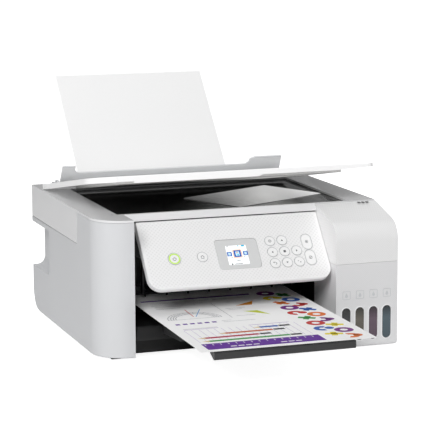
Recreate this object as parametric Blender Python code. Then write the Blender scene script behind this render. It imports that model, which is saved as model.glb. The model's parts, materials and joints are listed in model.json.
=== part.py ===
"""All-in-one ink-tank inkjet printer: lid, scanner, tilting panel, tank block, feeder and print engine.

The body stands on z = 0 with +X to its right, +Y to its rear and its control panel facing -Y.
Every size below is in millimetres; MM turns it into Blender's metres when a mesh is stored.
"""

import math

import bmesh
import bpy
from mathutils import Euler, Matrix, Vector

MM = 0.001

# ---- driving dimensions of the body -------------------------------------------------------------
WIDTH = 375.0
HALF_W = WIDTH / 2
REAR = 173.5
CASE_FRONT = -148.0
TANK_FRONT = -173.5
CORNER_R = 41.0
REAR_R = 28.0
WALL = 3.0
GAP = 0.3
SEAM_GAP = 0.5
CASE_BOTTOM = 6.5
SEAM = 131.5
TOP = 173.3
PLATE = 2.8
SHELL_TOP = TOP - PLATE - GAP
ROUND_STEPS = 6

# ---- scanner unit and lid -----------------------------------------------------------------------
SCANNER_AXIS = (0.0, 168.0, 172.0)
SKIRT_R = 222.0
APRON_FRONT = -110.0
UNIT_REAR = 134.0
WINDOW = ((-150.0, -100.0), (152.0, 118.0))
LID_AXIS = (0.0, 124.0, 176.8)
LID_OPEN = 9.8
LID_HALF_W = 185.0
LID_LENGTH = 237.0
LID_THICK = 6.8
LID_BLADE = 2.4
LID_HINGE_X = 128.0

# ---- output bay, tank block and panel -----------------------------------------------------------
BAY_LEFT = -143.0
TANK_LEFT = 105.2
TANK_REAR = -103.5
RIGHT_FRONT = TANK_REAR + 1.1
COVER_SEAM = 107.3
COVER_TOP = 172.0
COVER_R = 25.0
COVER_SHOULDER = 134.0
COVER_SLOPE = 15.2
COVER_AXIS = (0.0, TANK_REAR - 1.0, COVER_TOP - 1.5)
TANK_COLOURS = ("black", "yellow", "magenta", "cyan")
FIRST_TANK = 118.9
TANK_PITCH = 18.0
TANK_HALF_W = 8.6
WINDOW_R = 5.85
WINDOW_Z = (11.2, 52.7)
FILLER_Y = -140.0
CAP_AXIS_Y = -118.0
CAP_AXIS_Z = 109.2
PANEL_AXIS = (0.0, -105.8, 152.7)
PANEL_TILT = 39.0
PANEL_X = (-129.0, 104.6)
PANEL_FACE = -8.0
PANEL_TOP = 8.0
PANEL_HEIGHT = 94.0
BUTTON_R = 6.1
POWER_R = 7.6
PILL_HALF = 10.2
BUTTON_X = (34.7, 50.5, 66.3, 82.1)
BUTTON_ROWS = (38.3, 53.7, 69.1)
BUTTON_SIDES = 24

# ---- paper path ---------------------------------------------------------------------------------
SHEET_LENGTH = 297.0
SHEET_WIDTH = 210.0
FEED_TILT = 42.0
FEED_ORIGIN = (0.0, 151.0, 172.0)
FEED_X = -21.5
FEED_BOTTOM = -115.0
GUARD_AXIS = (0.0, 149.4, 177.6)
GUARD_LEAN = 29.0
TRAY_SLOPE = 3.65
TRAY_ORIGIN = (0.0, CASE_FRONT, 43.0)
TRAY_REACH = 197.5
PRINT_X = -22.5
PRINT_REAR = -48.7
PRINT_Z = 60.8
PRINT_TILT = -0.83
PRINT_THICK = 0.4
FEED_ROLLER = (-21.5, 73.5, 107.2)
FEED_ROLLER_R = 13.0
EXIT_ROLLER = (-20.0, -62.0, 52.2)
EXIT_ROLLER_R = 8.0

# ---- print engine -------------------------------------------------------------------------------
CARRIAGE_X = 128.0
CARRIAGE_HALF_W = 40.0
RAIL_Y = 56.0
BELT_Z = 112.0
BELT_ENDS = (-150.0, 160.0)
PULLEY_R = 5.5

# The origin is the centre of the base of everything at rest, so the body is set back by this much.
Y_LOW = (PRINT_REAR - SHEET_LENGTH * math.cos(math.radians(PRINT_TILT))
         + PRINT_THICK * math.sin(math.radians(PRINT_TILT)))
Y_HIGH = (FEED_ORIGIN[1] + (SHEET_LENGTH + FEED_BOTTOM) * math.sin(math.radians(FEED_TILT))
          + 0.6 * math.cos(math.radians(FEED_TILT)))
BODY_SHIFT = -(Y_LOW + Y_HIGH) / 2


# ---- shapes -------------------------------------------------------------------------------------
def block(low, high):
    """Return a box between two corners."""
    shape = bmesh.new()
    bmesh.ops.create_cube(shape, size=1.0)
    size = [b - a for a, b in zip(low, high)]
    middle = [(a + b) / 2 for a, b in zip(low, high)]
    bmesh.ops.scale(shape, vec=size, verts=shape.verts)
    bmesh.ops.translate(shape, vec=middle, verts=shape.verts)
    return shape


def arc(centre, radius, start, end, steps=ROUND_STEPS):
    """Return points on an arc, with its angles in degrees."""
    points = []
    for step in range(steps + 1):
        angle = math.radians(start + (end - start) * step / steps)
        points.append((centre[0] + radius * math.cos(angle), centre[1] + radius * math.sin(angle)))
    return points


def rounded(low, high, radii, steps=ROUND_STEPS):
    """Return a rectangle's outline; radii run from its low-low corner anticlockwise."""
    corners = ((low[0], low[1], 1, 1, 180), (high[0], low[1], -1, 1, 270),
               (high[0], high[1], -1, -1, 0), (low[0], high[1], 1, -1, 90))
    points = []
    for (x, y, inward_x, inward_y, start), radius in zip(corners, radii):
        if radius == 0:
            points.append((x, y))
            continue
        centre = (x + inward_x * radius, y + inward_y * radius)
        points.extend(arc(centre, radius, start, start + 90, steps))
    return points


def prism(outline, axis, low, high):
    """Return an outline extruded along axis; it lies in YZ for X, XZ for Y and XY for Z."""
    place = {"X": lambda a, b: (low, a, b), "Y": lambda a, b: (a, low, b), "Z": lambda a, b: (a, b, low)}
    direction = {"X": (1, 0, 0), "Y": (0, 1, 0), "Z": (0, 0, 1)}[axis]
    shape = bmesh.new()
    face = shape.faces.new([shape.verts.new(place[axis](a, b)) for a, b in outline])
    grown = bmesh.ops.extrude_face_region(shape, geom=[face])
    moved = [item for item in grown["geom"] if isinstance(item, bmesh.types.BMVert)]
    bmesh.ops.translate(shape, vec=Vector(direction) * (high - low), verts=moved)
    bmesh.ops.recalc_face_normals(shape, faces=shape.faces)
    return shape


def rod(axis, centre, radius, low, high, sides=20):
    """Return a cylinder along axis, with centre in the plane across it."""
    circle = arc(centre, radius, 0, 360 - 360 / sides, sides - 1)
    return prism(circle, axis, low, high)


def combine(first, second, operation):
    """Return first combined with second by an exact Boolean; both meshes are used up."""
    pair = []
    for shape in (first, second):
        mesh = bpy.data.meshes.new("working")
        shape.to_mesh(mesh)
        shape.free()
        item = bpy.data.objects.new("working", mesh)
        bpy.context.scene.collection.objects.link(item)
        pair.append(item)
    modifier = pair[0].modifiers.new("combine", "BOOLEAN")
    modifier.operation = operation
    modifier.solver = "EXACT"
    modifier.object = pair[1]
    graph = bpy.context.evaluated_depsgraph_get()
    evaluated = pair[0].evaluated_get(graph)
    result = bmesh.new()
    result.from_mesh(evaluated.to_mesh())
    evaluated.to_mesh_clear()
    for item in pair:
        mesh = item.data
        bpy.data.objects.remove(item)
        bpy.data.meshes.remove(mesh)
    return result


def fuse(body, *others):
    """Return the union of the given shapes."""
    for other in others:
        body = combine(body, other, "UNION")
    return body


def carve(body, *cutters):
    """Return body with every cutter taken out of it."""
    for cutter in cutters:
        body = combine(body, cutter, "DIFFERENCE")
    return body


def common(body, other):
    """Return what both shapes share."""
    return combine(body, other, "INTERSECT")


def turned(shape, origin, angle):
    """Return a shape turned about X by angle degrees and moved from zero to origin."""
    matrix = Matrix.Translation(origin) @ Matrix.Rotation(math.radians(angle), 4, "X")
    bmesh.ops.transform(shape, matrix=matrix, verts=shape.verts)
    return shape


# ---- objects ------------------------------------------------------------------------------------
def srgb(value):
    """Turn one sRGB channel, 0 to 255, into a linear value."""
    level = value / 255
    return level / 12.92 if level <= 0.04045 else ((level + 0.055) / 1.055) ** 2.4


def material(name, colour, roughness=0.5, metallic=0.0, alpha=1.0):
    """Return a Principled BSDF material of an sRGB colour."""
    made = bpy.data.materials.new(name)
    made.use_nodes = True
    shader = made.node_tree.nodes["Principled BSDF"]
    shader.inputs["Base Color"].default_value = [srgb(channel) for channel in colour] + [1.0]
    shader.inputs["Roughness"].default_value = roughness
    shader.inputs["Metallic"].default_value = metallic
    shader.inputs["Alpha"].default_value = alpha
    return made


def pivot(name, location, tilt=0.0, parent=None):
    """Return an empty on a joint's axis; location is in its parent's frame, tilt is about X."""
    empty = bpy.data.objects.new(name, None)
    bpy.context.scene.collection.objects.link(empty)
    empty.location = Vector(location) * MM
    empty.rotation_euler = Euler((math.radians(tilt), 0, 0))
    empty.parent = parent
    return empty


def below(point, parent_point):
    """Return a point in the frame of an unturned parent that stands at parent_point."""
    return tuple(a - b for a, b in zip(point, parent_point))


def add_part(name, shape, finish, parent, origin=(0.0, 0.0, 0.0)):
    """Store a shape as an object; origin is the object's own origin in the shape's frame."""
    bmesh.ops.translate(shape, vec=-Vector(origin), verts=shape.verts)
    bmesh.ops.scale(shape, vec=(MM, MM, MM), verts=shape.verts)
    mesh = bpy.data.meshes.new(name)
    shape.to_mesh(mesh)
    shape.free()
    mesh.materials.append(finish)
    mesh.shade_smooth()
    mesh.set_sharp_from_angle(angle=math.radians(35))
    item = bpy.data.objects.new(name, mesh)
    bpy.context.scene.collection.objects.link(item)
    item.parent = parent
    return item


# ---- casing -------------------------------------------------------------------------------------
def side_profile(inset):
    """Return the case's outline in YZ, with its rounded lower rear corner, inset by inset."""
    corner = (REAR - REAR_R, CASE_BOTTOM + REAR_R)
    return ([(-220.0, CASE_BOTTOM + inset)] + arc(corner, REAR_R - inset, -90, 0)
            + [(REAR - inset, 220.0), (-220.0, 220.0)])


def skirt_front(radius, bottom):
    """Return the front edge of the scanner's skirt in YZ, an arc about its axis down to bottom."""
    drop = math.degrees(math.asin((SCANNER_AXIS[2] - bottom) / radius))
    return arc(SCANNER_AXIS[1:], radius, 180, 180 + drop, 4)


def skirt_room(low, high):
    """Return the space that the scanner's skirt takes out of a side shell."""
    outline = skirt_front(SKIRT_R + GAP + 0.1, SEAM) + [(220.0, SEAM), (220.0, 220.0), (-54.4, 220.0)]
    return prism(outline, "X", low, high)


def hand_notch(outside, inside):
    """Return the pocket's wall and the hollow of the hand notch at a side's rear."""
    wall_low, wall_high = sorted((outside - math.copysign(1.5, outside),
                                  inside - math.copysign(WALL, inside)))
    pocket = block((wall_low, 82.0, 63.0), (wall_high, REAR - WALL - GAP, 128.0))
    reach = outside + math.copysign(12.0, outside)
    low, high = sorted((reach, inside))
    outline = [(200.0, 125.0), (85.0, 125.0)] + arc((93.0, 74.0), 8.0, 180, 270) + [(200.0, 66.0)]
    radii = (0.0, 10.0, 0.0, 0.0) if outside < 0 else (10.0, 0.0, 0.0, 0.0)
    section = prism(rounded((low, 66.0), (high, 125.0), radii), "Y", 50.0, 210.0)
    return pocket, common(prism(outline, "X", low, high), section)


def left_housing():
    """Return the left shell: side wall, rounded front pillar and rear hand notch."""
    lip = -HALF_W + 16.0
    centre = (-HALF_W + CORNER_R, CASE_FRONT + CORNER_R)
    outer = ([(lip, REAR), (-HALF_W, REAR)] + arc(centre, CORNER_R, 180, 270, 10)
             + [(BAY_LEFT, CASE_FRONT), (BAY_LEFT, -104.0), (lip, -104.0)])
    inner = ([(-HALF_W + WALL, 220.0)] + arc(centre, CORNER_R - WALL, 180, 270, 10)
             + [(BAY_LEFT - WALL, CASE_FRONT + WALL), (BAY_LEFT - WALL, -128.0),
                (-100.0, -128.0), (-100.0, 220.0)])
    shell = common(prism(outer, "Z", CASE_BOTTOM, SHELL_TOP),
                   prism(side_profile(0.0), "X", -220.0, 0.0))
    core = common(prism(inner, "Z", CASE_BOTTOM + WALL, 220.0),
                  prism(side_profile(WALL), "X", -220.0, 0.0))
    pocket, notch = hand_notch(-HALF_W, lip)
    shell = fuse(carve(shell, core), pocket)
    return carve(shell, notch, skirt_room(-220.0, 0.0))


def right_housing():
    """Return the right shell with its hand notch, and its front wall behind the tank block."""
    lip = HALF_W - 16.0
    outer = [(lip, REAR), (lip, RIGHT_FRONT), (HALF_W, RIGHT_FRONT), (HALF_W, REAR)]
    inner = [(100.0, 220.0), (100.0, RIGHT_FRONT + WALL), (HALF_W - WALL, RIGHT_FRONT + WALL),
             (HALF_W - WALL, 220.0)]
    shell = common(prism(outer, "Z", CASE_BOTTOM, SHELL_TOP),
                   prism(side_profile(0.0), "X", 0.0, 220.0))
    core = common(prism(inner, "Z", CASE_BOTTOM + WALL, 220.0),
                  prism(side_profile(WALL), "X", 0.0, 220.0))
    pocket, notch = hand_notch(HALF_W, lip)
    bulkhead = block((TANK_LEFT + WALL, RIGHT_FRONT, 11.3), (lip + 1.0, RIGHT_FRONT + WALL, 166.5))
    shell = fuse(carve(shell, core), pocket, bulkhead)
    return carve(shell, notch, skirt_room(0.0, 220.0))


def rear_housing():
    """Return the rear wall that curves under the case, with its two connector openings."""
    corner = (REAR - REAR_R, CASE_BOTTOM + REAR_R)
    outline = ([(140.0, CASE_BOTTOM)] + arc(corner, REAR_R, -90, 0) + [(REAR, SEAM), (REAR - WALL, SEAM)]
               + arc(corner, REAR_R - WALL, 0, -90) + [(140.0, CASE_BOTTOM + WALL)])
    half = HALF_W - 16.0 - GAP
    wall = prism(outline, "X", -half, half)
    inlet = block((-150.0, 160.0, 32.0), (-126.0, 190.0, 50.0))
    data_port = block((128.0, 160.0, 41.0), (142.0, 190.0, 55.0))
    return carve(wall, inlet, data_port)


def base_pan():
    """Return the black floor pan, with its front sill under the bay and two moulded rear feet."""
    half = HALF_W - 16.0 - GAP
    pan = block((-half, -84.0, 6.8), (half, 139.7, 11.0))
    tongue = block((BAY_LEFT + GAP, -127.0, 6.8), (TANK_LEFT - GAP, -83.0, 11.0))
    sill = block((BAY_LEFT + GAP, -127.0, 7.5), (TANK_LEFT - GAP, -124.0, 26.0))
    left = block((-half, -103.7, 6.8), (BAY_LEFT + 1.0, -83.0, 11.0))
    right = block((TANK_LEFT - 1.0, RIGHT_FRONT, 6.8), (half, -83.0, 11.0))
    feet = [block((x - 10.0, 108.0, 0.0), (x + 10.0, 128.0, 9.0)) for x in (-140.0, 140.0)]
    return fuse(pan, tongue, sill, left, right, *feet)


# ---- scanner unit and lid -----------------------------------------------------------------------
def scanner_bezel():
    """Return the top frame round the glass, with its sloping apron, side skirts and hinge ears."""
    centre = (-HALF_W + CORNER_R, CASE_FRONT + CORNER_R)
    arm = HALF_W - 24.5
    plan = ([(-HALF_W, REAR)] + arc(centre, CORNER_R, 180, 270, 10)
            + [(BAY_LEFT - GAP, CASE_FRONT), (BAY_LEFT - GAP, -104.0), (TANK_LEFT - GAP, -104.0),
               (TANK_LEFT - GAP, RIGHT_FRONT), (HALF_W, RIGHT_FRONT), (HALF_W, REAR),
               (arm, REAR), (arm, UNIT_REAR), (-arm, UNIT_REAR), (-arm, REAR)])
    plate = prism(plan, "Z", TOP - PLATE, TOP)
    apron = prism([(-103.0, TOP), (-105.5, TOP - 0.8), (APRON_FRONT, 167.0), (APRON_FRONT, 164.9),
                   (-107.2, 164.9), (-107.2, 167.5), (-104.2, TOP - PLATE), (-103.0, TOP - PLATE)],
                  "X", BAY_LEFT - GAP, TANK_LEFT - GAP)
    plate = fuse(plate, apron)
    for side in (-1, 1):
        outer, inner = side * HALF_W, side * (HALF_W - WALL)
        low, high = sorted((outer, inner))
        edge = skirt_front(SKIRT_R, SEAM + SEAM_GAP)
        skirt = prism([(edge[0][0], TOP - 1.0)] + edge + [(REAR, SEAM + SEAM_GAP), (REAR, TOP - 1.0)],
                      "X", low, high)
        low, high = sorted((outer, side * arm))
        end = block((low, REAR - WALL, SEAM + SEAM_GAP), (high, REAR, TOP - 1.0))
        plate = fuse(plate, skirt, end)
        for x in (LID_HINGE_X - 10.5, LID_HINGE_X + 7.5):
            low, high = sorted((side * x, side * (x + 3.0)))
            plate = fuse(plate, block((low, 121.0, TOP - 1.0), (high, 127.0, LID_AXIS[2] + 3.0)))
    (x_low, y_low), (x_high, y_high) = WINDOW
    return carve(plate, block((x_low, y_low, 160.0), (x_high, y_high, 190.0)))


def scanner_tub():
    """Return the dark tub under the glass, open at its top, with a slanted rear wall."""
    outer = [(-96.0, 166.9), (-96.0, 146.0), (-88.0, 138.0), (100.0, 138.0), (126.0, 166.9)]
    inner = [(-93.5, 190.0), (-93.5, 147.0), (-87.0, 140.5), (98.9, 140.5), (122.6, 166.9),
             (122.6, 190.0)]
    return carve(prism(outer, "X", -165.0, 165.0), prism(inner, "X", -162.5, 162.5))


def scanner_glass():
    """Return the glass plate, glued under the window's edges."""
    (x_low, y_low), (x_high, y_high) = WINDOW
    return block((x_low - 5.0, y_low - 2.4, 167.2), (x_high + 5.0, y_high + 4.0, TOP - PLATE - GAP))


def scan_carriage():
    """Return the sensor bar that crosses under the glass."""
    bar = block((-143.0, -84.0, 143.0), (-127.0, 96.0, 160.0))
    return fuse(bar, block((-140.0, -84.0, 159.0), (-130.0, 94.0, 163.5)))


def document_lid():
    """Return the lid about its hinge axis, closed: a tray with thin sides, a handle lip and knuckles."""
    rear = 1.2
    front = -LID_LENGTH
    under = -3.1
    plan = rounded((-LID_HALF_W, front + 2.5), (LID_HALF_W, rear), (30.0, 8.0, 3.0, 3.0), 8)
    lid = prism(plan, "Z", under, under + LID_THICK)
    top = under + LID_THICK
    edge = block((-LID_HALF_W + 32.0, front, under + 0.2), (LID_HALF_W - 10.0, front + 4.0, top - 0.8))
    lip = prism([(-131.0, under - 2.1), (29.0, under - 2.1), (36.0, under + 1.0), (-131.0, under + 1.0)],
                "Y", front, front + 2.2)
    hollow = prism(rounded((-LID_HALF_W + 4.0, front + 7.0), (LID_HALF_W - 4.0, rear - 12.0),
                           (26.0, 5.0, 2.0, 2.0)), "Z", under - 5.0, top - LID_BLADE)
    sweep = arc((front + 88.0, top - LID_BLADE - 90.0), 90.0, 151, 90)
    blade = prism([(rear + 5.0, under - 5.0)] + [(front + 9.0, under - 5.0)] + sweep
                  + [(rear + 5.0, top - LID_BLADE)], "X", -LID_HALF_W - 5.0, -LID_HALF_W + 4.5)
    rise = prism([(LID_HALF_W - 55.0, under), (LID_HALF_W + 5.0, under - 5.0),
                  (LID_HALF_W + 5.0, under + 2.6)], "Y", front - 5.0, rear + 5.0)
    lid = carve(fuse(lid, edge, lip), hollow, blade, rise)
    for side in (-1, 1):
        x = side * LID_HINGE_X
        slot = block((x - 12.0, -6.5, -10.0), (x + 12.0, 10.0, 20.0))
        web = block((x - 6.5, -7.5, -2.0), (x + 6.5, 1.0, 2.0))
        lid = fuse(carve(lid, slot), fuse(web, rod("X", (0.0, 0.0), 3.0, x - 6.5, x + 6.5, 16)))
    return lid


def lid_pad():
    """Return the white pressing pad inside the lid."""
    low, high = WINDOW
    return block((low[0] + 6.0, low[1] - LID_AXIS[1] + 4.0, -5.6),
                 (high[0] - 6.0, high[1] - LID_AXIS[1] - 6.0, 0.9))


# ---- control panel ------------------------------------------------------------------------------
def panel_z(distance):
    """Return the panel's own height of a point this far down its face."""
    return PANEL_TOP - distance


def pill(half_height, radius):
    """Return an upright pill's outline about zero."""
    reach = half_height - radius
    steps = BUTTON_SIDES // 2
    return arc((0.0, reach), radius, 0, 180, steps) + arc((0.0, -reach), radius, 180, 360, steps)


def button_list():
    """Return each button's name, place on the panel, half height and radius."""
    left, middle, right, last = BUTTON_X
    top, centre, bottom = BUTTON_ROWS
    places = [("power_button", -91.1, centre, POWER_R, POWER_R)]
    for name, x, distance in (("home_button", -55.6, centre), ("help_button", left, top),
                              ("up_button", middle, top), ("left_button", left, centre),
                              ("ok_button", middle, centre), ("right_button", right, centre),
                              ("back_button", left, bottom), ("down_button", middle, bottom),
                              ("copies_button", right, bottom)):
        places.append((name, x, distance, BUTTON_R, BUTTON_R))
    places.append(("start_button", last, 42.5, PILL_HALF, BUTTON_R))
    places.append(("stop_button", last, 64.5, PILL_HALF, BUTTON_R))
    return places


def button_outline(half_height, radius):
    """Return a button's outline about zero, round or pill-shaped."""
    if half_height == radius:
        return arc((0.0, 0.0), radius, 0, 360 - 360 / BUTTON_SIDES, BUTTON_SIDES - 1)
    return pill(half_height, radius)


def display_outline(inset):
    """Return the display window's rounded outline on the panel."""
    return rounded((-36.8 + inset, panel_z(73.2) + inset), (17.6 - inset, panel_z(32.0) - inset),
                   (4.0, 5.0, 5.0, 4.0), 4)


def control_panel():
    """Return the panel's shell about its hinge axis, upright, with its button and display openings."""
    left, right = PANEL_X
    bottom = panel_z(PANEL_HEIGHT)
    profile = [(PANEL_FACE, bottom + 1.5), (PANEL_FACE + 1.5, bottom), (-1.5, bottom), (4.0, PANEL_TOP),
               (PANEL_FACE + 1.0, PANEL_TOP), (PANEL_FACE, PANEL_TOP - 1.0)]
    outer = prism(rounded((left, bottom), (right, PANEL_TOP), (16.0, 16.0, 1.5, 1.5), 8),
                  "Y", -20.0, 20.0)
    inner = prism(rounded((left + WALL, bottom + WALL), (right - WALL, PANEL_TOP - 2.5),
                          (13.0, 13.0, 1.0, 1.0)), "Y", PANEL_FACE + 2.5, 30.0)
    shell = carve(common(outer, prism(profile, "X", -220.0, 220.0)), inner)
    for _, x, distance, half_height, radius in button_list():
        hole = prism(button_outline(half_height + GAP, radius + GAP), "Y", -20.0, 20.0)
        bmesh.ops.translate(hole, vec=(x, 0.0, panel_z(distance)), verts=hole.verts)
        shell = carve(shell, hole)
    return carve(shell, prism(display_outline(0.0), "Y", -20.0, 20.0))


# ---- ink tanks ----------------------------------------------------------------------------------
def tank_centres():
    """Return the middle of each ink tank along X."""
    return [FIRST_TANK + TANK_PITCH * index for index in range(len(TANK_COLOURS))]


def capsule(centre_x, radius):
    """Return the outline of a tank's upright window."""
    low, high = WINDOW_Z[0] + WINDOW_R, WINDOW_Z[1] - WINDOW_R
    return arc((centre_x, high), radius, 0, 180, 10) + arc((centre_x, low), radius, 180, 360, 10)


def tank_housing():
    """Return the open-topped block that holds the tanks, with a window for each."""
    outer = prism([(TANK_FRONT, 7.0), (TANK_FRONT + 1.5, 3.5), (TANK_FRONT + 5.0, 2.0), (TANK_REAR, 2.0),
                   (TANK_REAR, COVER_SEAM - GAP), (TANK_FRONT, COVER_SEAM - GAP)], "X", TANK_LEFT, HALF_W)
    inner = block((TANK_LEFT + WALL, TANK_FRONT + WALL, 5.0),
                  (HALF_W - WALL, TANK_REAR - WALL, 200.0))
    housing = carve(outer, inner)
    for x in tank_centres():
        housing = carve(housing, prism(capsule(x, WINDOW_R), "Y", TANK_FRONT - 5.0, TANK_FRONT + 10.0))
    return housing


def ink_tank(x):
    """Return one tank: its body, the front boss in its window, a filler neck and two cap ears."""
    tank = block((x - TANK_HALF_W, TANK_FRONT + WALL + GAP, 5.3),
                 (x + TANK_HALF_W, TANK_REAR - WALL - GAP, 98.0))
    boss = prism(capsule(x, WINDOW_R - GAP), "Y", TANK_FRONT + 0.9, TANK_FRONT + 8.0)
    neck = rod("Z", (x, FILLER_Y), 5.0, 96.0, 106.0, 16)
    tank = fuse(tank, boss, neck)
    for low, high in ((-8.5, -6.6), (6.6, 8.5)):
        tank = fuse(tank, block((x + low, CAP_AXIS_Y - 2.5, 96.0), (x + high, CAP_AXIS_Y + 2.5, 112.0)))
    return tank


def tank_cap(x):
    """Return a filler cap with the arm and barrel of its hinge."""
    disc = rod("Z", (x, FILLER_Y), 7.5, 106.3, 110.5, 20)
    arm = block((x - 3.0, FILLER_Y + 5.0, 107.5), (x + 3.0, CAP_AXIS_Y, 110.5))
    barrel = rod("X", (CAP_AXIS_Y, CAP_AXIS_Z), 2.2, x - 6.2, x + 6.2, 12)
    return fuse(disc, arm, barrel)


def cover_profile(inset, rear, bottom):
    """Return the tank cover's outline in YZ, inset from its outer surface by inset."""
    centre = (TANK_FRONT + COVER_R, COVER_SHOULDER)
    return ([(rear, bottom), (TANK_FRONT + inset, bottom)]
            + arc(centre, COVER_R - inset, 180, 90 + COVER_SLOPE, 8)
            + [(TANK_REAR - 2.5, COVER_TOP - inset), (rear, COVER_TOP - inset)])


def tank_cover():
    """Return the curved cover of the tank block, open below and low at its rear for the caps."""
    outer = prism(cover_profile(0.0, TANK_REAR, COVER_SEAM), "X", TANK_LEFT, HALF_W)
    inner = prism(cover_profile(WALL, TANK_REAR - WALL, 90.0), "X", TANK_LEFT + WALL, HALF_W - WALL)
    relief = block((TANK_LEFT + WALL, TANK_REAR - 10.0, 90.0),
                   (HALF_W - WALL, TANK_REAR + 10.0, 116.0))
    return carve(outer, inner, relief)


# ---- feeder -------------------------------------------------------------------------------------
def feed_point(behind, along):
    """Return the YZ place of a point behind the loaded sheets' plane and along it."""
    tilt = math.radians(FEED_TILT)
    return (FEED_ORIGIN[1] + along * math.sin(tilt) + behind * math.cos(tilt),
            FEED_ORIGIN[2] + along * math.cos(tilt) - behind * math.sin(tilt))


def feeder_frame():
    """Return the rear feeder: slanted back plate, side cheeks, front wall, top strip and rear wall."""
    half = 160.0
    back = turned(block((-half, 2.4, -113.0), (half, 4.4, 4.0)), FEED_ORIGIN, -FEED_TILT)
    front = turned(block((-half, -10.5, -36.0), (half, -8.5, -4.0)), FEED_ORIGIN, -FEED_TILT)
    hood = prism([feed_point(3.0, 2.0), (REAR - WALL, 171.5), (REAR - WALL, SEAM + 1.0),
                  (REAR, SEAM + 1.0), (REAR, 175.6), feed_point(3.0, 7.5)], "X", -half, half)
    cheek = [feed_point(-10.5, -36.0), (128.0, 134.0), (REAR - 1.0, 134.0), (REAR - 1.0, 174.0),
             (154.0, 174.0), (154.0, 181.0), (145.5, 181.0), feed_point(-10.5, -5.0)]
    frame = fuse(back, hood)
    for low, high in ((-half, -half + WALL), (half - WALL, half)):
        frame = fuse(frame, prism(cheek, "X", low, high))
    frame = fuse(frame, front)
    slot = turned(block((FEED_X - 62.0, 4.5, -20.0), (FEED_X + 62.0, 8.2, 30.0)),
                  FEED_ORIGIN, -FEED_TILT)
    return carve(frame, slot)


def feed_guard():
    """Return the guard flap about its hinge axis, upright, with its wide cut-out."""
    high = 26.6
    notch = 15.4
    outline = [(-155.0, 0.0), (155.0, 0.0), (154.2, high), (115.5, high), (113.0, high - 0.9)]
    outline += arc((100.0, notch + 9.0), 9.0, 0, -90, 5) + arc((-130.5, notch + 6.0), 6.0, 270, 180, 4)
    outline += [(-136.5, high), (-154.2, high)]
    flap = prism(outline, "Y", -1.2, 1.2)
    return fuse(flap, rod("X", (0.0, 0.0), 1.9, -156.6, 156.6, 12))


def edge_guide(side):
    """Return a paper edge guide: a fence beside the sheets and a foot under them."""
    edge = FEED_X + side * (SHEET_WIDTH / 2 + 0.4)
    low, high = sorted((edge, edge + side * 2.5))
    fence = block((low, -6.0, -72.0), (high, 2.0, -6.0))
    low, high = sorted((edge - side * 30.0, edge + side * 1.0))
    return fuse(fence, block((low, 1.0, -46.0), (high, 2.0, -26.0)))


# ---- output trays -------------------------------------------------------------------------------
def tray_base():
    """Return the fixed tray housing in the bay, with the sloping channel for the sliding trays."""
    outline = [(CASE_FRONT, 30.0), (CASE_FRONT + 2.5, 26.4), (-72.0, 26.4), (-72.0, 44.0),
               (CASE_FRONT + 1.5, 44.0), (CASE_FRONT, 42.5)]
    body = prism(outline, "X", -141.0, 103.0)
    channel = turned(block((-108.5, -30.0, -9.4), (54.5, 110.0, 15.0)), TRAY_ORIGIN, -TRAY_SLOPE)
    return carve(body, channel)


def output_tray():
    """Return the first sliding tray: a floor between two side rails."""
    floor = block((-108.0, -65.0, -9.0), (54.0, 50.0, -7.0))
    rails = [block((low, -65.0, -8.0), (low + 6.0, 50.0, 0.0)) for low in (-108.0, 48.0)]
    return fuse(floor, *rails)


def tray_extension():
    """Return the second tray, which slides in the first and ends in a wide front edge."""
    board = block((-101.5, -TRAY_REACH + 2.0, -6.5), (47.5, -35.0, -1.5))
    front = prism([(-TRAY_REACH, -8.0), (-TRAY_REACH + 1.5, -9.3), (-TRAY_REACH + 4.0, -9.3),
                   (-TRAY_REACH + 16.0, -3.0), (-TRAY_REACH + 16.0, 0.0), (-TRAY_REACH + 1.0, 0.0),
                   (-TRAY_REACH, -1.0)], "X", -112.5, 57.5)
    return fuse(board, front)


# ---- print engine -------------------------------------------------------------------------------
def paper_path_frame():
    """Return the black inner frame: two side plates, a front beam and the bay's side linings."""
    left = block((-166.0, -66.0, 11.3), (-163.0, 80.0, 134.0))
    right = block((170.5, -66.0, 11.3), (173.5, 80.0, 134.0))
    beam = block((-165.0, -66.0, 112.0), (172.0, -58.0, 134.0))
    lining_left = block((-142.4, -126.0, 44.6), (-139.4, -65.5, 134.0))
    lining_right = block((TANK_LEFT - GAP, TANK_REAR + 0.8, 44.6),
                         (TANK_LEFT + WALL - GAP, -65.5, 134.0))
    return fuse(left, beam, right, lining_left, lining_right)


def carriage_rail():
    """Return the folded steel rail that carries the print head."""
    web = block((-160.0, RAIL_Y, 92.0), (169.0, RAIL_Y + 2.5, 130.0))
    flange = block((-160.0, RAIL_Y - 7.0, 127.5), (169.0, RAIL_Y + 1.0, 130.0))
    shaft_hole = rod("Y", (BELT_ENDS[1], BELT_Z), 2.8, RAIL_Y - 10.0, RAIL_Y + 10.0, 16)
    return carve(fuse(web, flange), shaft_hole)


def print_carriage():
    """Return the print head's carriage, with its nozzle block below."""
    low, high = CARRIAGE_X - CARRIAGE_HALF_W, CARRIAGE_X + CARRIAGE_HALF_W
    outline = [(-8.0, 70.0), (-4.0, 66.0), (42.0, 66.0), (46.0, 70.0), (46.0, 124.0), (4.0, 124.0),
               (-8.0, 108.0)]
    body = prism(outline, "X", low, high)
    return fuse(body, block((low + 12.0, 2.0, 62.5), (high - 12.0, 38.0, 67.0)))


def drive_belt():
    """Return the carriage's closed belt loop."""
    def loop(radius):
        start, end = BELT_ENDS
        return arc((end, BELT_Z), radius, -90, 90, 10) + arc((start, BELT_Z), radius, 90, 270, 10)
    outer = prism(loop(PULLEY_R + 1.8), "Y", RAIL_Y - 8.0, RAIL_Y - 2.0)
    return carve(outer, prism(loop(PULLEY_R + 0.4), "Y", RAIL_Y - 20.0, RAIL_Y + 20.0))


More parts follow.
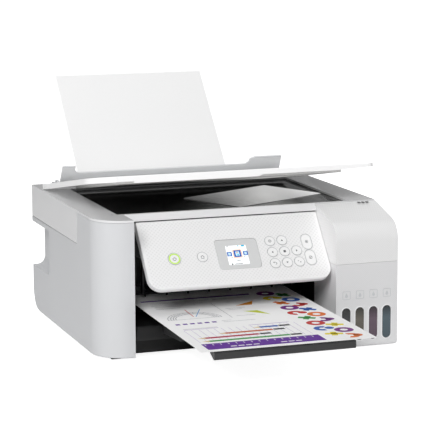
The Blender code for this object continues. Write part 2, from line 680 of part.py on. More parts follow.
def drive_pulley():
    """Return the motor's pulley and its shaft through the rail."""
    wheel = rod("Y", (BELT_ENDS[1], BELT_Z), PULLEY_R, RAIL_Y - 8.0, RAIL_Y - 1.5, 20)
    return fuse(wheel, rod("Y", (BELT_ENDS[1], BELT_Z), 2.0, RAIL_Y - 4.0, RAIL_Y + 3.0, 12))


def roller(centre, radius, half_length, shaft_low, shaft_high):
    """Return a rubber roller on its shaft along X."""
    x, y, z = centre
    body = rod("X", (y, z), radius, x - half_length, x + half_length, 24)
    return fuse(body, rod("X", (y, z), 3.0, shaft_low, shaft_high, 12))


def platen():
    """Return the ribbed platen under the print head."""
    plate = block((-125.0, -40.0, 50.0), (92.0, 25.0, 57.0))
    ribs = [block((x - 2.0, -38.0, 56.0), (x + 2.0, 23.0, 59.5)) for x in range(-108, 90, 31)]
    return fuse(plate, *ribs)


def maintenance_station():
    """Return the capping station under the print head's home place."""
    station = block((97.0, -12.0, 11.3), (163.0, 50.0, 58.0))
    return carve(station, block((106.0, 2.0, 50.0), (150.0, 38.0, 70.0)))


def power_supply():
    """Return the power supply box and its mains inlet."""
    box = block((-160.0, 100.0, 11.3), (-112.0, 165.0, 60.0))
    corner_cut = prism([(140.0, 0.0), (180.0, 0.0), (180.0, 30.0), (165.0, 30.0)], "X", -170.0, -100.0)
    inlet = block((-149.5, 160.0, 32.5), (-126.5, REAR - 1.0, 49.5))
    socket = prism(rounded((-145.0, 37.0), (-131.0, 45.0), (4.0,) * 4, 4), "Y", REAR - 13.0, REAR + 5.0)
    return carve(fuse(carve(box, corner_cut), inlet), socket)


def main_board():
    """Return the main circuit board on its posts, with its data socket at the rear."""
    board = block((108.0, 70.0, 40.0), (164.0, 168.0, 41.6))
    posts = [rod("Z", (x, y), 3.0, 11.3, 40.8, 10) for x in (113.0, 159.0) for y in (76.0, 130.0)]
    socket = block((128.4, 150.0, 41.4), (141.6, REAR - 1.0, 54.6))
    hollow = block((130.4, REAR - 10.0, 44.0), (139.6, REAR + 5.0, 52.6))
    return carve(fuse(board, *posts, socket), hollow)


# ---- assembly -----------------------------------------------------------------------------------
def finishes():
    """Return every material by name."""
    return {
        "white": material("white_abs", (236, 236, 238), 0.42),
        "body": material("light_grey_abs", (216, 217, 219), 0.45),
        "face": material("textured_white_panel", (240, 240, 240), 0.5),
        "grey": material("mid_grey_abs", (196, 198, 200), 0.45),
        "black": material("black_abs", (22, 22, 23), 0.5),
        "tray": material("charcoal_abs", (58, 58, 58), 0.45),
        "rubber": material("black_rubber", (30, 30, 30), 0.85),
        "steel": material("zinc_plated_steel", (168, 170, 172), 0.35, 1.0),
        "glass": material("platen_glass", (20, 20, 20), 0.08, 0.0, 0.5),
        "display": material("display_window", (221, 221, 221), 0.25),
        "button": material("button_white", (243, 243, 243), 0.4),
        "board": material("circuit_board", (34, 96, 58), 0.5),
        "paper": material("white_paper", (243, 243, 243), 0.9),
        "ink_black": material("tank_black", (58, 58, 58), 0.2, 0.0, 0.9),
        "ink_yellow": material("tank_yellow", (95, 89, 78), 0.2, 0.0, 0.9),
        "ink_magenta": material("tank_magenta", (90, 74, 87), 0.2, 0.0, 0.9),
        "ink_cyan": material("tank_cyan", (74, 90, 99), 0.2, 0.0, 0.9),
    }


def build_casing(root, paint):
    """Add the fixed shells, feet and floor."""
    add_part("base_pan", base_pan(), paint["black"], root)
    add_part("left_housing", left_housing(), paint["body"], root)
    add_part("right_housing", right_housing(), paint["body"], root)
    add_part("rear_housing", rear_housing(), paint["body"], root)
    for name, low, high in (
            ("foot_front_left", (-165.0, -120.0, 0.0), (-147.0, -106.0, CASE_BOTTOM - GAP)),
            ("foot_front_right", (137.0, -150.0, 0.0), (157.0, -132.0, 2.0 - GAP))):
        add_part(name, block(low, high), paint["rubber"], root)


def build_scanner(root, paint):
    """Add the scanner unit on its rear axis, the sensor bar in it and the lid on top."""
    unit = pivot("scanner_axis", SCANNER_AXIS, 0.0, root)
    add_part("scanner_bezel", scanner_bezel(), paint["white"], unit, SCANNER_AXIS)
    add_part("scanner_tub", scanner_tub(), paint["black"], unit, SCANNER_AXIS)
    add_part("scanner_glass", scanner_glass(), paint["glass"], unit, SCANNER_AXIS)
    home = (-135.0, 3.0, 150.0)
    bar = pivot("scan_carriage_axis", below(home, SCANNER_AXIS), 0.0, unit)
    add_part("scan_carriage", scan_carriage(), paint["black"], bar, home)
    photo = block((-75.5, -50.5, 0.0), (75.5, 50.5, 0.4))
    place = Matrix.Translation((59.0, -6.0, TOP - PLATE + 0.1))
    turn = Matrix.Rotation(math.radians(26.0), 4, "Z")
    bmesh.ops.transform(photo, matrix=place @ turn, verts=photo.verts)
    add_part("original_sheet", photo, paint["paper"], unit, SCANNER_AXIS)
    hinge = pivot("lid_axis", below(LID_AXIS, SCANNER_AXIS), -LID_OPEN, unit)
    add_part("document_lid", document_lid(), paint["white"], hinge)
    add_part("lid_pad", lid_pad(), paint["face"], hinge)


def build_panel(root, paint):
    """Add the tilting control panel, its display window and its twelve sprung buttons."""
    hinge = pivot("panel_axis", PANEL_AXIS, -PANEL_TILT, root)
    add_part("control_panel", control_panel(), paint["face"], hinge)
    window = prism(display_outline(GAP), "Y", PANEL_FACE + 0.3, PANEL_FACE + 4.0)
    add_part("display", window, paint["display"], hinge)
    for name, x, distance, half_height, radius in button_list():
        shape = prism(button_outline(half_height, radius), "Y", PANEL_FACE - 0.3, PANEL_FACE + 7.0)
        button = add_part(name, shape, paint["button"], hinge)
        button.location = Vector((x, 0.0, panel_z(distance))) * MM


def build_tanks(root, paint):
    """Add the tank block: housing, four tanks, four filler caps and the hinged cover."""
    add_part("tank_housing", tank_housing(), paint["body"], root)
    for colour, x in zip(TANK_COLOURS, tank_centres()):
        add_part("ink_tank_" + colour, ink_tank(x), paint["ink_" + colour], root)
        axis = (x, CAP_AXIS_Y, CAP_AXIS_Z)
        hinge = pivot("cap_axis_" + colour, axis, 0.0, root)
        add_part("tank_cap_" + colour, tank_cap(x), paint["grey"], hinge, axis)
    hinge = pivot("tank_cover_axis", COVER_AXIS, 0.0, root)
    add_part("tank_cover", tank_cover(), paint["body"], hinge, COVER_AXIS)


def build_feeder(root, paint):
    """Add the rear feeder, its guard, support, edge guides, roller and loaded sheets."""
    add_part("feeder_frame", feeder_frame(), paint["grey"], root)
    guard = pivot("guard_axis", GUARD_AXIS, GUARD_LEAN, root)
    add_part("feed_guard", feed_guard(), paint["grey"], guard)
    slope = pivot("feed_slope", FEED_ORIGIN, -FEED_TILT, root)
    half = SHEET_WIDTH / 2
    stack = block((FEED_X - half, -0.8, FEED_BOTTOM), (FEED_X + half, 0.6, FEED_BOTTOM + SHEET_LENGTH))
    add_part("feed_sheets", stack, paint["paper"], slope)
    support = prism(rounded((FEED_X - 60.0, -72.0), (FEED_X + 60.0, 95.0), (0.0, 0.0, 12.0, 12.0)),
                    "Y", 4.9, 7.6)
    add_part("paper_support", support, paint["grey"], slope)
    add_part("edge_guide_left", edge_guide(-1), paint["grey"], slope)
    add_part("edge_guide_right", edge_guide(1), paint["grey"], slope)
    axis = pivot("feed_roller_axis", FEED_ROLLER, 0.0, root)
    add_part("feed_roller", roller(FEED_ROLLER, FEED_ROLLER_R, 20.0, -162.6, 100.0), paint["rubber"],
             axis, FEED_ROLLER)


def build_output(root, paint):
    """Add the tray housing, the two sliding trays, the exit roller and the printed sheet."""
    add_part("tray_base", tray_base(), paint["tray"], root)
    slope = pivot("tray_slope", TRAY_ORIGIN, -TRAY_SLOPE, root)
    add_part("output_tray", output_tray(), paint["tray"], slope)
    add_part("tray_extension", tray_extension(), paint["tray"], slope)
    axis = pivot("exit_roller_axis", EXIT_ROLLER, 0.0, root)
    add_part("exit_roller", roller(EXIT_ROLLER, EXIT_ROLLER_R, 105.0, -162.6, 170.0), paint["rubber"],
             axis, EXIT_ROLLER)
    half = SHEET_WIDTH / 2
    sheet = turned(block((PRINT_X - half, -SHEET_LENGTH, 0.0), (PRINT_X + half, 0.0, PRINT_THICK)),
                   (0.0, PRINT_REAR, PRINT_Z), -PRINT_TILT)
    add_part("printed_sheet", sheet, paint["paper"], root)


def build_engine(root, paint):
    """Add the print engine's frame, rail, carriage, drive and electronics."""
    add_part("paper_path_frame", paper_path_frame(), paint["black"], root)
    add_part("carriage_rail", carriage_rail(), paint["steel"], root)
    home = (CARRIAGE_X, 20.0, 95.0)
    axis = pivot("print_carriage_axis", home, 0.0, root)
    add_part("print_carriage", print_carriage(), paint["black"], axis, home)
    add_part("drive_belt", drive_belt(), paint["rubber"], root)
    hub = (BELT_ENDS[1], RAIL_Y, BELT_Z)
    axis = pivot("pulley_axis", hub, 0.0, root)
    add_part("drive_pulley", drive_pulley(), paint["steel"], axis, hub)
    motor = rod("Y", (BELT_ENDS[1] - 4.0, BELT_Z), 12.0, RAIL_Y + 3.3, RAIL_Y + 26.0, 20)
    add_part("carriage_motor", motor, paint["steel"], root)
    motor = rod("X", (20.0, 30.0), 17.0, -160.0, -132.0, 20)
    add_part("feed_motor", motor, paint["steel"], root)
    add_part("platen", platen(), paint["black"], root)
    add_part("maintenance_station", maintenance_station(), paint["black"], root)
    add_part("power_supply", power_supply(), paint["black"], root)
    add_part("main_board", main_board(), paint["board"], root)


def build():
    """Clear the scene and build the whole printer."""
    for item in list(bpy.data.objects):
        bpy.data.objects.remove(item)
    root = pivot("printer", (0.0, BODY_SHIFT, 0.0))
    paint = finishes()
    build_casing(root, paint)
    build_scanner(root, paint)
    build_panel(root, paint)
    build_tanks(root, paint)
    build_feeder(root, paint)
    build_output(root, paint)
    build_engine(root, paint)


build()
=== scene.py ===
"""Finished looks of an ink-tank all-in-one printer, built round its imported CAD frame.

Shapes are modelled in millimetres. A Slope is a frame turned about X, in which the panel, the feeder,
the trays, the lid and the loose sheets lie level; publish() turns a shape into Blender's metres.
"""

import json
import logging
import math
from dataclasses import dataclass, field
from enum import Enum
from typing import Callable, Iterable, Optional

import bmesh
import bpy
from mathutils import Matrix, Vector

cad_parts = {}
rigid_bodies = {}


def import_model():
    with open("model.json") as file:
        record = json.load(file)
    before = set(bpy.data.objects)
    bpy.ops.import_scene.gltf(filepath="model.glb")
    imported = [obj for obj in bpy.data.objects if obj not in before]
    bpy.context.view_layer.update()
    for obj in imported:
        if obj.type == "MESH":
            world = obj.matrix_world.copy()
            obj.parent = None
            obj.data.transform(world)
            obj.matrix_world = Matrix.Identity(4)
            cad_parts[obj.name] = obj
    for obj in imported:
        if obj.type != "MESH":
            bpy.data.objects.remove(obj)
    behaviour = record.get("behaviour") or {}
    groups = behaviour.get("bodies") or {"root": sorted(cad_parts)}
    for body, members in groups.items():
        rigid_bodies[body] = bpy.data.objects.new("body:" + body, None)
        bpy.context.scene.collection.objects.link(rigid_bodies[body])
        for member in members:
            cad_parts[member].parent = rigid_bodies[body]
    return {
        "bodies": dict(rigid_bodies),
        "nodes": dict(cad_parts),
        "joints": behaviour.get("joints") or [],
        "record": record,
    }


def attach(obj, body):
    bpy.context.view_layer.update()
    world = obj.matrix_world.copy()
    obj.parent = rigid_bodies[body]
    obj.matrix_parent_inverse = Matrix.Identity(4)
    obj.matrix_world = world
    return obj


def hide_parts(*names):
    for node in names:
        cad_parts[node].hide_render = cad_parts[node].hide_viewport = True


LOG = logging.getLogger("printer")
MM = 0.001
SHARP = math.radians(35)
Outline = list[tuple[float, float]]
Colour = tuple[float, float, float, float]
Socket = bpy.types.NodeSocket
Tree = bpy.types.NodeTree
Shape = bmesh.types.BMesh


# ---- colours and nodes --------------------------------------------------------------------------
def linear(code: str, gain: float = 1.0) -> Colour:
    """Turn an sRGB hex value into a linear colour.

    Args:
        code: The colour, such as "#F0F0F0".
        gain: What the linear value is multiplied by.

    Returns:
        Red, green, blue and an alpha of 1.
    """
    levels = [int(code[start:start + 2], 16) / 255 for start in (1, 3, 5)]
    curve = [c / 12.92 if c <= 0.04045 else ((c + 0.055) / 1.055) ** 2.4 for c in levels]
    red, green, blue = (min(1.0, value * gain) for value in curve)
    return red, green, blue, 1.0


def add_node(tree: Tree, kind: str, settings: Optional[dict] = None,
             links: Optional[dict] = None) -> bpy.types.ShaderNode:
    """Add a shader node with its settings and links.

    Args:
        tree: The node tree it goes in.
        kind: The node's type without its ShaderNode prefix.
        settings: Values by input name or number, or by property name.
        links: Output sockets by the name or number of the input they feed.

    Returns:
        The new node.
    """
    node = tree.nodes.new("ShaderNode" + kind)
    for key, value in (settings or {}).items():
        if isinstance(key, int) or key in node.inputs:
            node.inputs[key].default_value = value
        else:
            setattr(node, key, value)
    for key, socket in (links or {}).items():
        tree.links.new(node.inputs[key], socket)
    return node


def per_mm(size: float) -> float:
    """Return the noise scale whose features are this many millimetres across."""
    return 1 / (size * MM)


def wave_per_mm(period: float) -> float:
    """Return the wave scale whose bands repeat every period millimetres."""
    return 2 * math.pi / 20 / (period * MM)


# ---- finishes -----------------------------------------------------------------------------------
@dataclass(frozen=True)
class Finish:
    """One surface finish: a named material with its colour and polish."""

    name: str
    colour: str
    roughness: float = 0.45
    coat: float = 0.0
    metallic: float = 0.0
    alpha: float = 1.0
    glow: float = 0.0

    def material(self) -> bpy.types.Material:
        """Return this finish's material, made the first time it is asked for."""
        found = bpy.data.materials.get(self.name)
        if found:
            return found
        made = bpy.data.materials.new(self.name)
        made.use_nodes = True
        tree = made.node_tree
        shader = tree.nodes["Principled BSDF"]
        shader.inputs["Base Color"].default_value = linear(self.colour)
        shader.inputs["Roughness"].default_value = self.roughness
        shader.inputs["Metallic"].default_value = self.metallic
        shader.inputs["Coat Weight"].default_value = self.coat
        shader.inputs["Coat Roughness"].default_value = 0.12
        shader.inputs["Alpha"].default_value = self.alpha
        shader.inputs["Emission Color"].default_value = linear(self.colour)
        shader.inputs["Emission Strength"].default_value = self.glow
        place = add_node(tree, "TexCoord").outputs["Object"]
        self.dress(tree, shader, place)
        return made

    def dress(self, tree: Tree, shader: bpy.types.ShaderNode, place: Socket) -> None:
        """Give the surface a faint unevenness of colour and polish."""
        cloud = add_node(tree, "TexNoise", {"Scale": per_mm(25), "Detail": 3.0}, {"Vector": place})
        tint = add_node(tree, "Mix", {"data_type": "RGBA", 6: linear(self.colour, 0.95),
                                      7: linear(self.colour, 1.03)}, {0: cloud.outputs[0]})
        tree.links.new(shader.inputs["Base Color"], tint.outputs[2])


@dataclass(frozen=True)
class MouldedAbs(Finish):
    """ABS moulded in a spark-eroded tool, which gives it a fine, even satin grain.

    The real grain is about 0.1 mm. It is drawn several times coarser, as it would not show otherwise.
    In the hollows of a moulded pattern the colour is multiplied by a grey, which paints shade into them.
    """

    grain_mm: float = 0.7
    depth_mm: float = 0.025
    painted_hollow_shade: str = "#EBEBEB"

    def dress(self, tree: Tree, shader: bpy.types.ShaderNode, place: Socket) -> None:
        """Add the grain, its change of polish and the slow drift of tone of a large moulding."""
        self.relief(tree, shader, place, None, None)

    def relief(self, tree: Tree, shader: bpy.types.ShaderNode, place: Socket,
               pattern: Optional[Socket], depth_mm: Optional[float]) -> None:
        """Link colour, roughness and bump, with an optional moulded pattern.

        Args:
            tree: The material's nodes.
            shader: Its Principled BSDF.
            place: Object coordinates.
            pattern: A height from 0 to 1 that the tool cuts into the face, or None; its hollows get painted
                shade.
            depth_mm: How deep the pattern is cut.
        """
        drift = add_node(tree, "TexNoise", {"Scale": per_mm(120), "Detail": 1.0}, {"Vector": place})
        grain = add_node(tree, "TexNoise", {"Scale": per_mm(self.grain_mm), "Detail": 2.0},
                         {"Vector": place})
        tint = add_node(tree, "Mix", {"data_type": "RGBA", 6: linear(self.colour, 0.97),
                                      7: linear(self.colour, 1.02)}, {0: drift.outputs[0]})
        polish = add_node(tree, "MapRange", {"To Min": self.roughness - 0.06,
                                             "To Max": self.roughness + 0.06}, {"Value": grain.outputs[0]})
        bump = add_node(tree, "Bump", {"Strength": 0.5, "Distance": self.depth_mm * MM},
                        {"Height": grain.outputs[0]})
        if pattern:
            # Painted shade: the pattern's hollows are darkened by multiplying the colour with a grey.
            tint = add_node(tree, "Mix", {"data_type": "RGBA", "blend_type": "MULTIPLY",
                                          7: linear(self.painted_hollow_shade)}, {0: pattern, 6: tint.outputs[2]})
            bump = add_node(tree, "Bump", {"Strength": 0.8, "Distance": depth_mm * MM, "invert": True},
                            {"Height": pattern, "Normal": bump.outputs["Normal"]})
        tree.links.new(shader.inputs["Base Color"], tint.outputs[2])
        tree.links.new(shader.inputs["Roughness"], polish.outputs["Result"])
        tree.links.new(shader.inputs["Normal"], bump.outputs["Normal"])


@dataclass(frozen=True)
class LatticeAbs(MouldedAbs):
    """ABS with a moulded diamond lattice, and a smooth margin where rim_mm gives its bounds."""

    tilt: float = 0.0
    cell_mm: float = 3.5
    cut_mm: float = 0.035
    centre_mm: tuple[float, float] = (0.0, 0.0)
    half_mm: tuple[float, float] = (1000.0, 1000.0)

    def dress(self, tree: Tree, shader: bpy.types.ShaderNode, place: Socket) -> None:
        """Cross two sets of fine diagonal bands, and fade them out at the margin."""
        level = add_node(tree, "Mapping", {"Rotation": (self.tilt, 0.0, 0.0)}, {"Vector": place})
        bands = []
        for turn in (math.radians(45), math.radians(-45)):
            slanted = add_node(tree, "Mapping", {"Rotation": (0.0, turn, 0.0)},
                               {"Vector": level.outputs["Vector"]})
            bands.append(add_node(tree, "TexWave", {"Scale": wave_per_mm(self.cell_mm)},
                                  {"Vector": slanted.outputs["Vector"]}))
        lattice = add_node(tree, "Math", {"operation": "MULTIPLY"},
                           {0: bands[0].outputs[1], 1: bands[1].outputs[1]})
        split = add_node(tree, "SeparateXYZ", {}, {"Vector": level.outputs["Vector"]})
        for axis, middle, half in (("X", self.centre_mm[0], self.half_mm[0]),
                                   ("Z", self.centre_mm[1], self.half_mm[1])):
            offset = add_node(tree, "Math", {"operation": "SUBTRACT", 1: middle * MM},
                              {0: split.outputs[axis]})
            reach = add_node(tree, "Math", {"operation": "ABSOLUTE"}, {0: offset.outputs[0]})
            inside = add_node(tree, "MapRange", {"From Min": (half - 1.0) * MM, "From Max": half * MM,
                                                 "To Min": 1.0, "To Max": 0.0},
                              {"Value": reach.outputs[0]})
            lattice = add_node(tree, "Math", {"operation": "MULTIPLY"},
                               {0: lattice.outputs[0], 1: inside.outputs["Result"]})
        self.relief(tree, shader, place, lattice.outputs[0], self.cut_mm)


@dataclass(frozen=True)
class RibbedAbs(MouldedAbs):
    """ABS with fine moulded ribs that run down the flap."""

    rib_mm: float = 1.5
    rib_depth_mm: float = 0.05

    def dress(self, tree: Tree, shader: bpy.types.ShaderNode, place: Socket) -> None:
        """Add the ribs over the grain."""
        ribs = add_node(tree, "TexWave", {"Scale": wave_per_mm(self.rib_mm)}, {"Vector": place})
        self.relief(tree, shader, place, ribs.outputs[1], self.rib_depth_mm)


@dataclass(frozen=True)
class PlatedSteel(Finish):
    """Rolled and zinc-plated steel sheet: fine lines along X and a spangle of soft patches."""

    def dress(self, tree: Tree, shader: bpy.types.ShaderNode, place: Socket) -> None:
        """Stretch a noise along X for the rolling lines, and vary the plate's polish."""
        drawn = add_node(tree, "Mapping", {"Scale": (0.03, 1.0, 1.0)}, {"Vector": place})
        lines = add_node(tree, "TexNoise", {"Scale": per_mm(0.6), "Detail": 3.0},
                         {"Vector": drawn.outputs["Vector"]})
        spangle = add_node(tree, "TexVoronoi", {"Scale": per_mm(9)}, {"Vector": place})
        tint = add_node(tree, "Mix", {"data_type": "RGBA", 6: linear(self.colour, 0.85),
                                      7: linear(self.colour, 1.05)}, {0: spangle.outputs["Distance"]})
        polish = add_node(tree, "MapRange", {"To Min": self.roughness - 0.1,
                                             "To Max": self.roughness + 0.12}, {"Value": lines.outputs[0]})
        tree.links.new(shader.inputs["Base Color"], tint.outputs[2])
        tree.links.new(shader.inputs["Roughness"], polish.outputs["Result"])


@dataclass(frozen=True)
class MouldedRubber(Finish):
    """Matt black rubber, ground on its outside, with a bloom of lighter dust in its pores."""

    def dress(self, tree: Tree, shader: bpy.types.ShaderNode, place: Socket) -> None:
        """Add pores of about half a millimetre."""
        pores = add_node(tree, "TexNoise", {"Scale": per_mm(0.5), "Detail": 4.0}, {"Vector": place})
        tint = add_node(tree, "Mix", {"data_type": "RGBA", 6: linear(self.colour, 0.7),
                                      7: linear(self.colour, 1.8)}, {0: pores.outputs[0]})
        bump = add_node(tree, "Bump", {"Strength": 0.7, "Distance": 0.05 * MM},
                        {"Height": pores.outputs[0]})
        tree.links.new(shader.inputs["Base Color"], tint.outputs[2])
        tree.links.new(shader.inputs["Normal"], bump.outputs["Normal"])


@dataclass(frozen=True)
class SmokedTank(Finish):
    """Smoked polypropylene tank with ink behind it, with a painted shadow under the top of its window."""

    shade_mm: tuple[float, float] = (37.0, 51.0)

    def dress(self, tree: Tree, shader: bpy.types.ShaderNode, place: Socket) -> None:
        """Darken the tank a little towards its foot, and paint a strong shadow towards the window's top."""
        split = add_node(tree, "SeparateXYZ", {}, {"Vector": place})
        depth = add_node(tree, "MapRange", {"From Min": 8 * MM, "From Max": self.shade_mm[0] * MM},
                         {"Value": split.outputs["Z"]})
        ink = add_node(tree, "Mix", {"data_type": "RGBA", 6: linear(self.colour, 0.85),
                                     7: linear(self.colour, 1.1)}, {0: depth.outputs["Result"]})
        # Painted shadow: from shade_mm upwards the tint falls to a quarter of the colour, standing in for
        # the shade under the window's top.
        top = add_node(tree, "MapRange", {"From Min": self.shade_mm[0] * MM,
                                          "From Max": self.shade_mm[1] * MM},
                       {"Value": split.outputs["Z"]})
        tint = add_node(tree, "Mix", {"data_type": "RGBA", 7: linear(self.colour, 0.25)},
                        {0: top.outputs["Result"], 6: ink.outputs[2]})
        tree.links.new(shader.inputs["Base Color"], tint.outputs[2])


@dataclass(frozen=True)
class OfficePaper(Finish):
    """Uncoated white paper: a cloudy mat of fibres about a millimetre long."""

    def dress(self, tree: Tree, shader: bpy.types.ShaderNode, place: Socket) -> None:
        """Add the fibres as a faint cloud of tone and a faint bump."""
        fibre = add_node(tree, "TexNoise", {"Scale": per_mm(1.2), "Detail": 5.0}, {"Vector": place})
        tint = add_node(tree, "Mix", {"data_type": "RGBA", 6: linear(self.colour, 0.96),
                                      7: linear(self.colour, 1.03)}, {0: fibre.outputs[0]})
        bump = add_node(tree, "Bump", {"Strength": 0.25, "Distance": 0.03 * MM},
                        {"Height": fibre.outputs[0]})
        tree.links.new(shader.inputs["Base Color"], tint.outputs[2])
        tree.links.new(shader.inputs["Normal"], bump.outputs["Normal"])


@dataclass(frozen=True)
class PhotoPaper(Finish):
    """The glossy back of a photo print, which fades from grey to white along its length and glows in the
    same tones as painted light.
    """

    turn: float = 0.0
    far_mm: float = 80.0
    centre_mm: tuple[float, float] = (0.0, 0.0)

    def dress(self, tree: Tree, shader: bpy.types.ShaderNode, place: Socket) -> None:
        """Fade the tone along the turned sheet, and let the painted glow follow the same fade."""
        x, y = self.centre_mm
        moved = add_node(tree, "Mapping", {"vector_type": "POINT", "Location": (-x * MM, -y * MM, 0.0)},
                         {"Vector": place})
        turned = add_node(tree, "Mapping", {"Rotation": (0.0, 0.0, -self.turn)},
                          {"Vector": moved.outputs["Vector"]})
        split = add_node(tree, "SeparateXYZ", {}, {"Vector": turned.outputs["Vector"]})
        fade = add_node(tree, "MapRange", {"From Min": -self.far_mm * MM, "From Max": self.far_mm * MM},
                        {"Value": split.outputs["X"]})
        tint = add_node(tree, "Mix", {"data_type": "RGBA", 6: linear(self.colour, 0.12),
                                      7: linear(self.colour, 1.1)}, {0: fade.outputs["Result"]})
        tree.links.new(shader.inputs["Base Color"], tint.outputs[2])
        # Painted light: the emission takes the faded tone, so the print glows as if lit.
        tree.links.new(shader.inputs["Emission Color"], tint.outputs[2])


@dataclass(frozen=True)
class CircuitBoard(Finish):
    """Green solder mask over copper tracks."""

    def dress(self, tree: Tree, shader: bpy.types.ShaderNode, place: Socket) -> None:
        """Draw the tracks as the borders of cells 5 mm across."""
        cells = add_node(tree, "TexVoronoi", {"feature": "DISTANCE_TO_EDGE", "Scale": per_mm(5)},
                         {"Vector": place})
        track = add_node(tree, "MapRange", {"From Min": 0.03, "From Max": 0.06},
                         {"Value": cells.outputs["Distance"]})
        tint = add_node(tree, "Mix", {"data_type": "RGBA", 6: linear(self.colour, 1.9),
                                      7: linear(self.colour)}, {0: track.outputs["Result"]})
        tree.links.new(shader.inputs["Base Color"], tint.outputs[2])


@dataclass(frozen=True)
class FoamBack(Finish):
    """White closed-cell foam faced with a smooth film, with cells under a millimetre."""

    def dress(self, tree: Tree, shader: bpy.types.ShaderNode, place: Socket) -> None:
        """Add the cells as dimples."""
        cells = add_node(tree, "TexVoronoi", {"Scale": per_mm(0.9)}, {"Vector": place})
        bump = add_node(tree, "Bump", {"Strength": 0.35, "Distance": 0.05 * MM},
                        {"Height": cells.outputs["Distance"]})
        tint = add_node(tree, "Mix", {"data_type": "RGBA", 6: linear(self.colour, 0.95),
                                      7: linear(self.colour)}, {0: cells.outputs["Distance"]})
        tree.links.new(shader.inputs["Base Color"], tint.outputs[2])
        tree.links.new(shader.inputs["Normal"], bump.outputs["Normal"])


WHITE = MouldedAbs("white_moulded_abs", "#F8F8F9", 0.38)
# The lid's white carries a faint painted glow, which brightens it as extra light would.
LID_WHITE_PAINTED_GLOW = MouldedAbs("lid_white_abs_painted_glow", "#FCFCFC", 0.38, glow=0.08)
GLOSS_WHITE = MouldedAbs("gloss_white_abs", "#ECECED", 0.2, 0.35, grain_mm=1.2, depth_mm=0.008)
SHELL = MouldedAbs("pale_grey_moulded_abs", "#DBDCDE", 0.42)
SMOKE = MouldedAbs("light_grey_moulded_abs", "#D4D6D8", 0.42)
FLAP = RibbedAbs("ribbed_grey_abs", "#F3F4F5", 0.42)
# COVER and BLOCK darken their lattice hollows with a painted shade.
COVER = LatticeAbs("cover_weave_abs", "#F4F4F4", 0.4, painted_hollow_shade="#F8F8F8", cell_mm=2.2, cut_mm=0.012)
BLOCK = LatticeAbs("block_weave_abs", "#EAEAEB", 0.45, painted_hollow_shade="#F8F8F8", cell_mm=1.8, cut_mm=0.01)
KEY = MouldedAbs("key_white_abs", "#F7F7F7", 0.35, grain_mm=0.4, depth_mm=0.01)
# Grey painted shade for the shadow ring in the gap round each key.
KEY_GAP_SHADE = MouldedAbs("key_gap_painted_shade", "#BDBFC1", 0.4, grain_mm=0.4, depth_mm=0.01)
WINDOW = MouldedAbs("display_window_acrylic", "#DCDDDD", 0.18, 0.4, grain_mm=2.0, depth_mm=0.004)
BLACK = MouldedAbs("black_moulded_abs", "#101011", 0.45)
BAY = MouldedAbs("bay_black_abs", "#131314", 0.38)
CHARCOAL = MouldedAbs("charcoal_moulded_abs", "#3A3A3B", 0.34)
RUBBER = MouldedRubber("black_rubber", "#161616", 0.85)
STEEL = PlatedSteel("zinc_plated_steel", "#B4B7BA", 0.34, metallic=1.0)
GLASS = Finish("platen_float_glass", "#1E1E1F", 0.03, 0.6, alpha=0.6)
PAPER = OfficePaper("office_paper", "#FCFCFC", 0.85)
BOARD = CircuitBoard("solder_mask", "#1E5C3A", 0.4)
FOAM = FoamBack("faced_foam", "#F0F0EE", 0.6)
LEGEND = Finish("pad_printed_grey", "#55585C", 0.5)
LED = Finish("lime_light_ring", "#B9E060", 0.35, glow=0.25)
SCREEN = Finish("lit_screen_white", "#F8FBFC", 0.2, glow=0.35)
ICON_BLUE = Finish("screen_blue", "#2F5FB4", 0.2, glow=0.25)
ICON_PALE = Finish("screen_pale_blue", "#BFE0F4", 0.2, glow=0.25)
ICON_CYAN = Finish("screen_cyan", "#2CB4D8", 0.2, glow=0.25)
ICON_ORANGE = Finish("screen_orange", "#EFA35C", 0.2, glow=0.25)
ICON_DARK = Finish("screen_dark", "#3C4148", 0.2, glow=0.05)
TANKS = {
    "black": SmokedTank("smoked_tank_black", "#37383A", 0.14, 0.5),
    "yellow": SmokedTank("smoked_tank_yellow", "#5E5950", 0.14, 0.5),
    "magenta": SmokedTank("smoked_tank_magenta", "#5D4B59", 0.14, 0.5),
    "cyan": SmokedTank("smoked_tank_cyan", "#485962", 0.14, 0.5),
}


class Ink(Enum):
    """The inks of the printed test sheet, as they look dried on plain paper."""

    BLACK = "#26252A"
    GREY = "#A9A9AE"
    LILAC = "#B9A8CF"
    PURPLE = "#5C0F96"
    PLUM = "#7A2E86"
    RED = "#C8342E"
    CRIMSON = "#B3213F"
    ORANGE = "#E2742F"
    BROWN = "#C8652F"
    AMBER = "#D98A1E"
    YELLOW = "#E8D62A"
    LIME = "#C9D63A"
    GREEN = "#3E9A48"
    BLUE = "#2F5FB5"
    SKY = "#4DA0DC"
    SAND = "#DCC493"
    WHITE = "#F4F2F6"

    def finish(self) -> Finish:
        """Return the finish of this ink."""
        return Finish("dried_ink_" + self.name.lower(), self.value, 0.6)


# ---- outlines -----------------------------------------------------------------------------------
def arc(centre: tuple[float, float], radius: float, start: float, end: float,
        steps: int = 12) -> Outline:
    """Return points on an arc, with its angles in degrees."""
    points = []
    for step in range(steps + 1):
        angle = math.radians(start + (end - start) * step / steps)
        points.append((centre[0] + radius * math.cos(angle), centre[1] + radius * math.sin(angle)))
    return points


def circle(centre: tuple[float, float], radius: float, steps: int = 40) -> Outline:
    """Return a closed circle's outline."""
    return arc(centre, radius, 0, 360 - 360 / steps, steps - 1)


def rounded(low: tuple[float, float], high: tuple[float, float], radius: float,
            steps: int = 6) -> Outline:
    """Return a rounded rectangle's outline, from its low-low corner anticlockwise."""
    points: Outline = []
    for x, y, start in ((low[0] + radius, low[1] + radius, 180), (high[0] - radius, low[1] + radius, 270),
                        (high[0] - radius, high[1] - radius, 0), (low[0] + radius, high[1] - radius, 90)):
        points.extend(arc((x, y), radius, start, start + 90, steps))
    return points


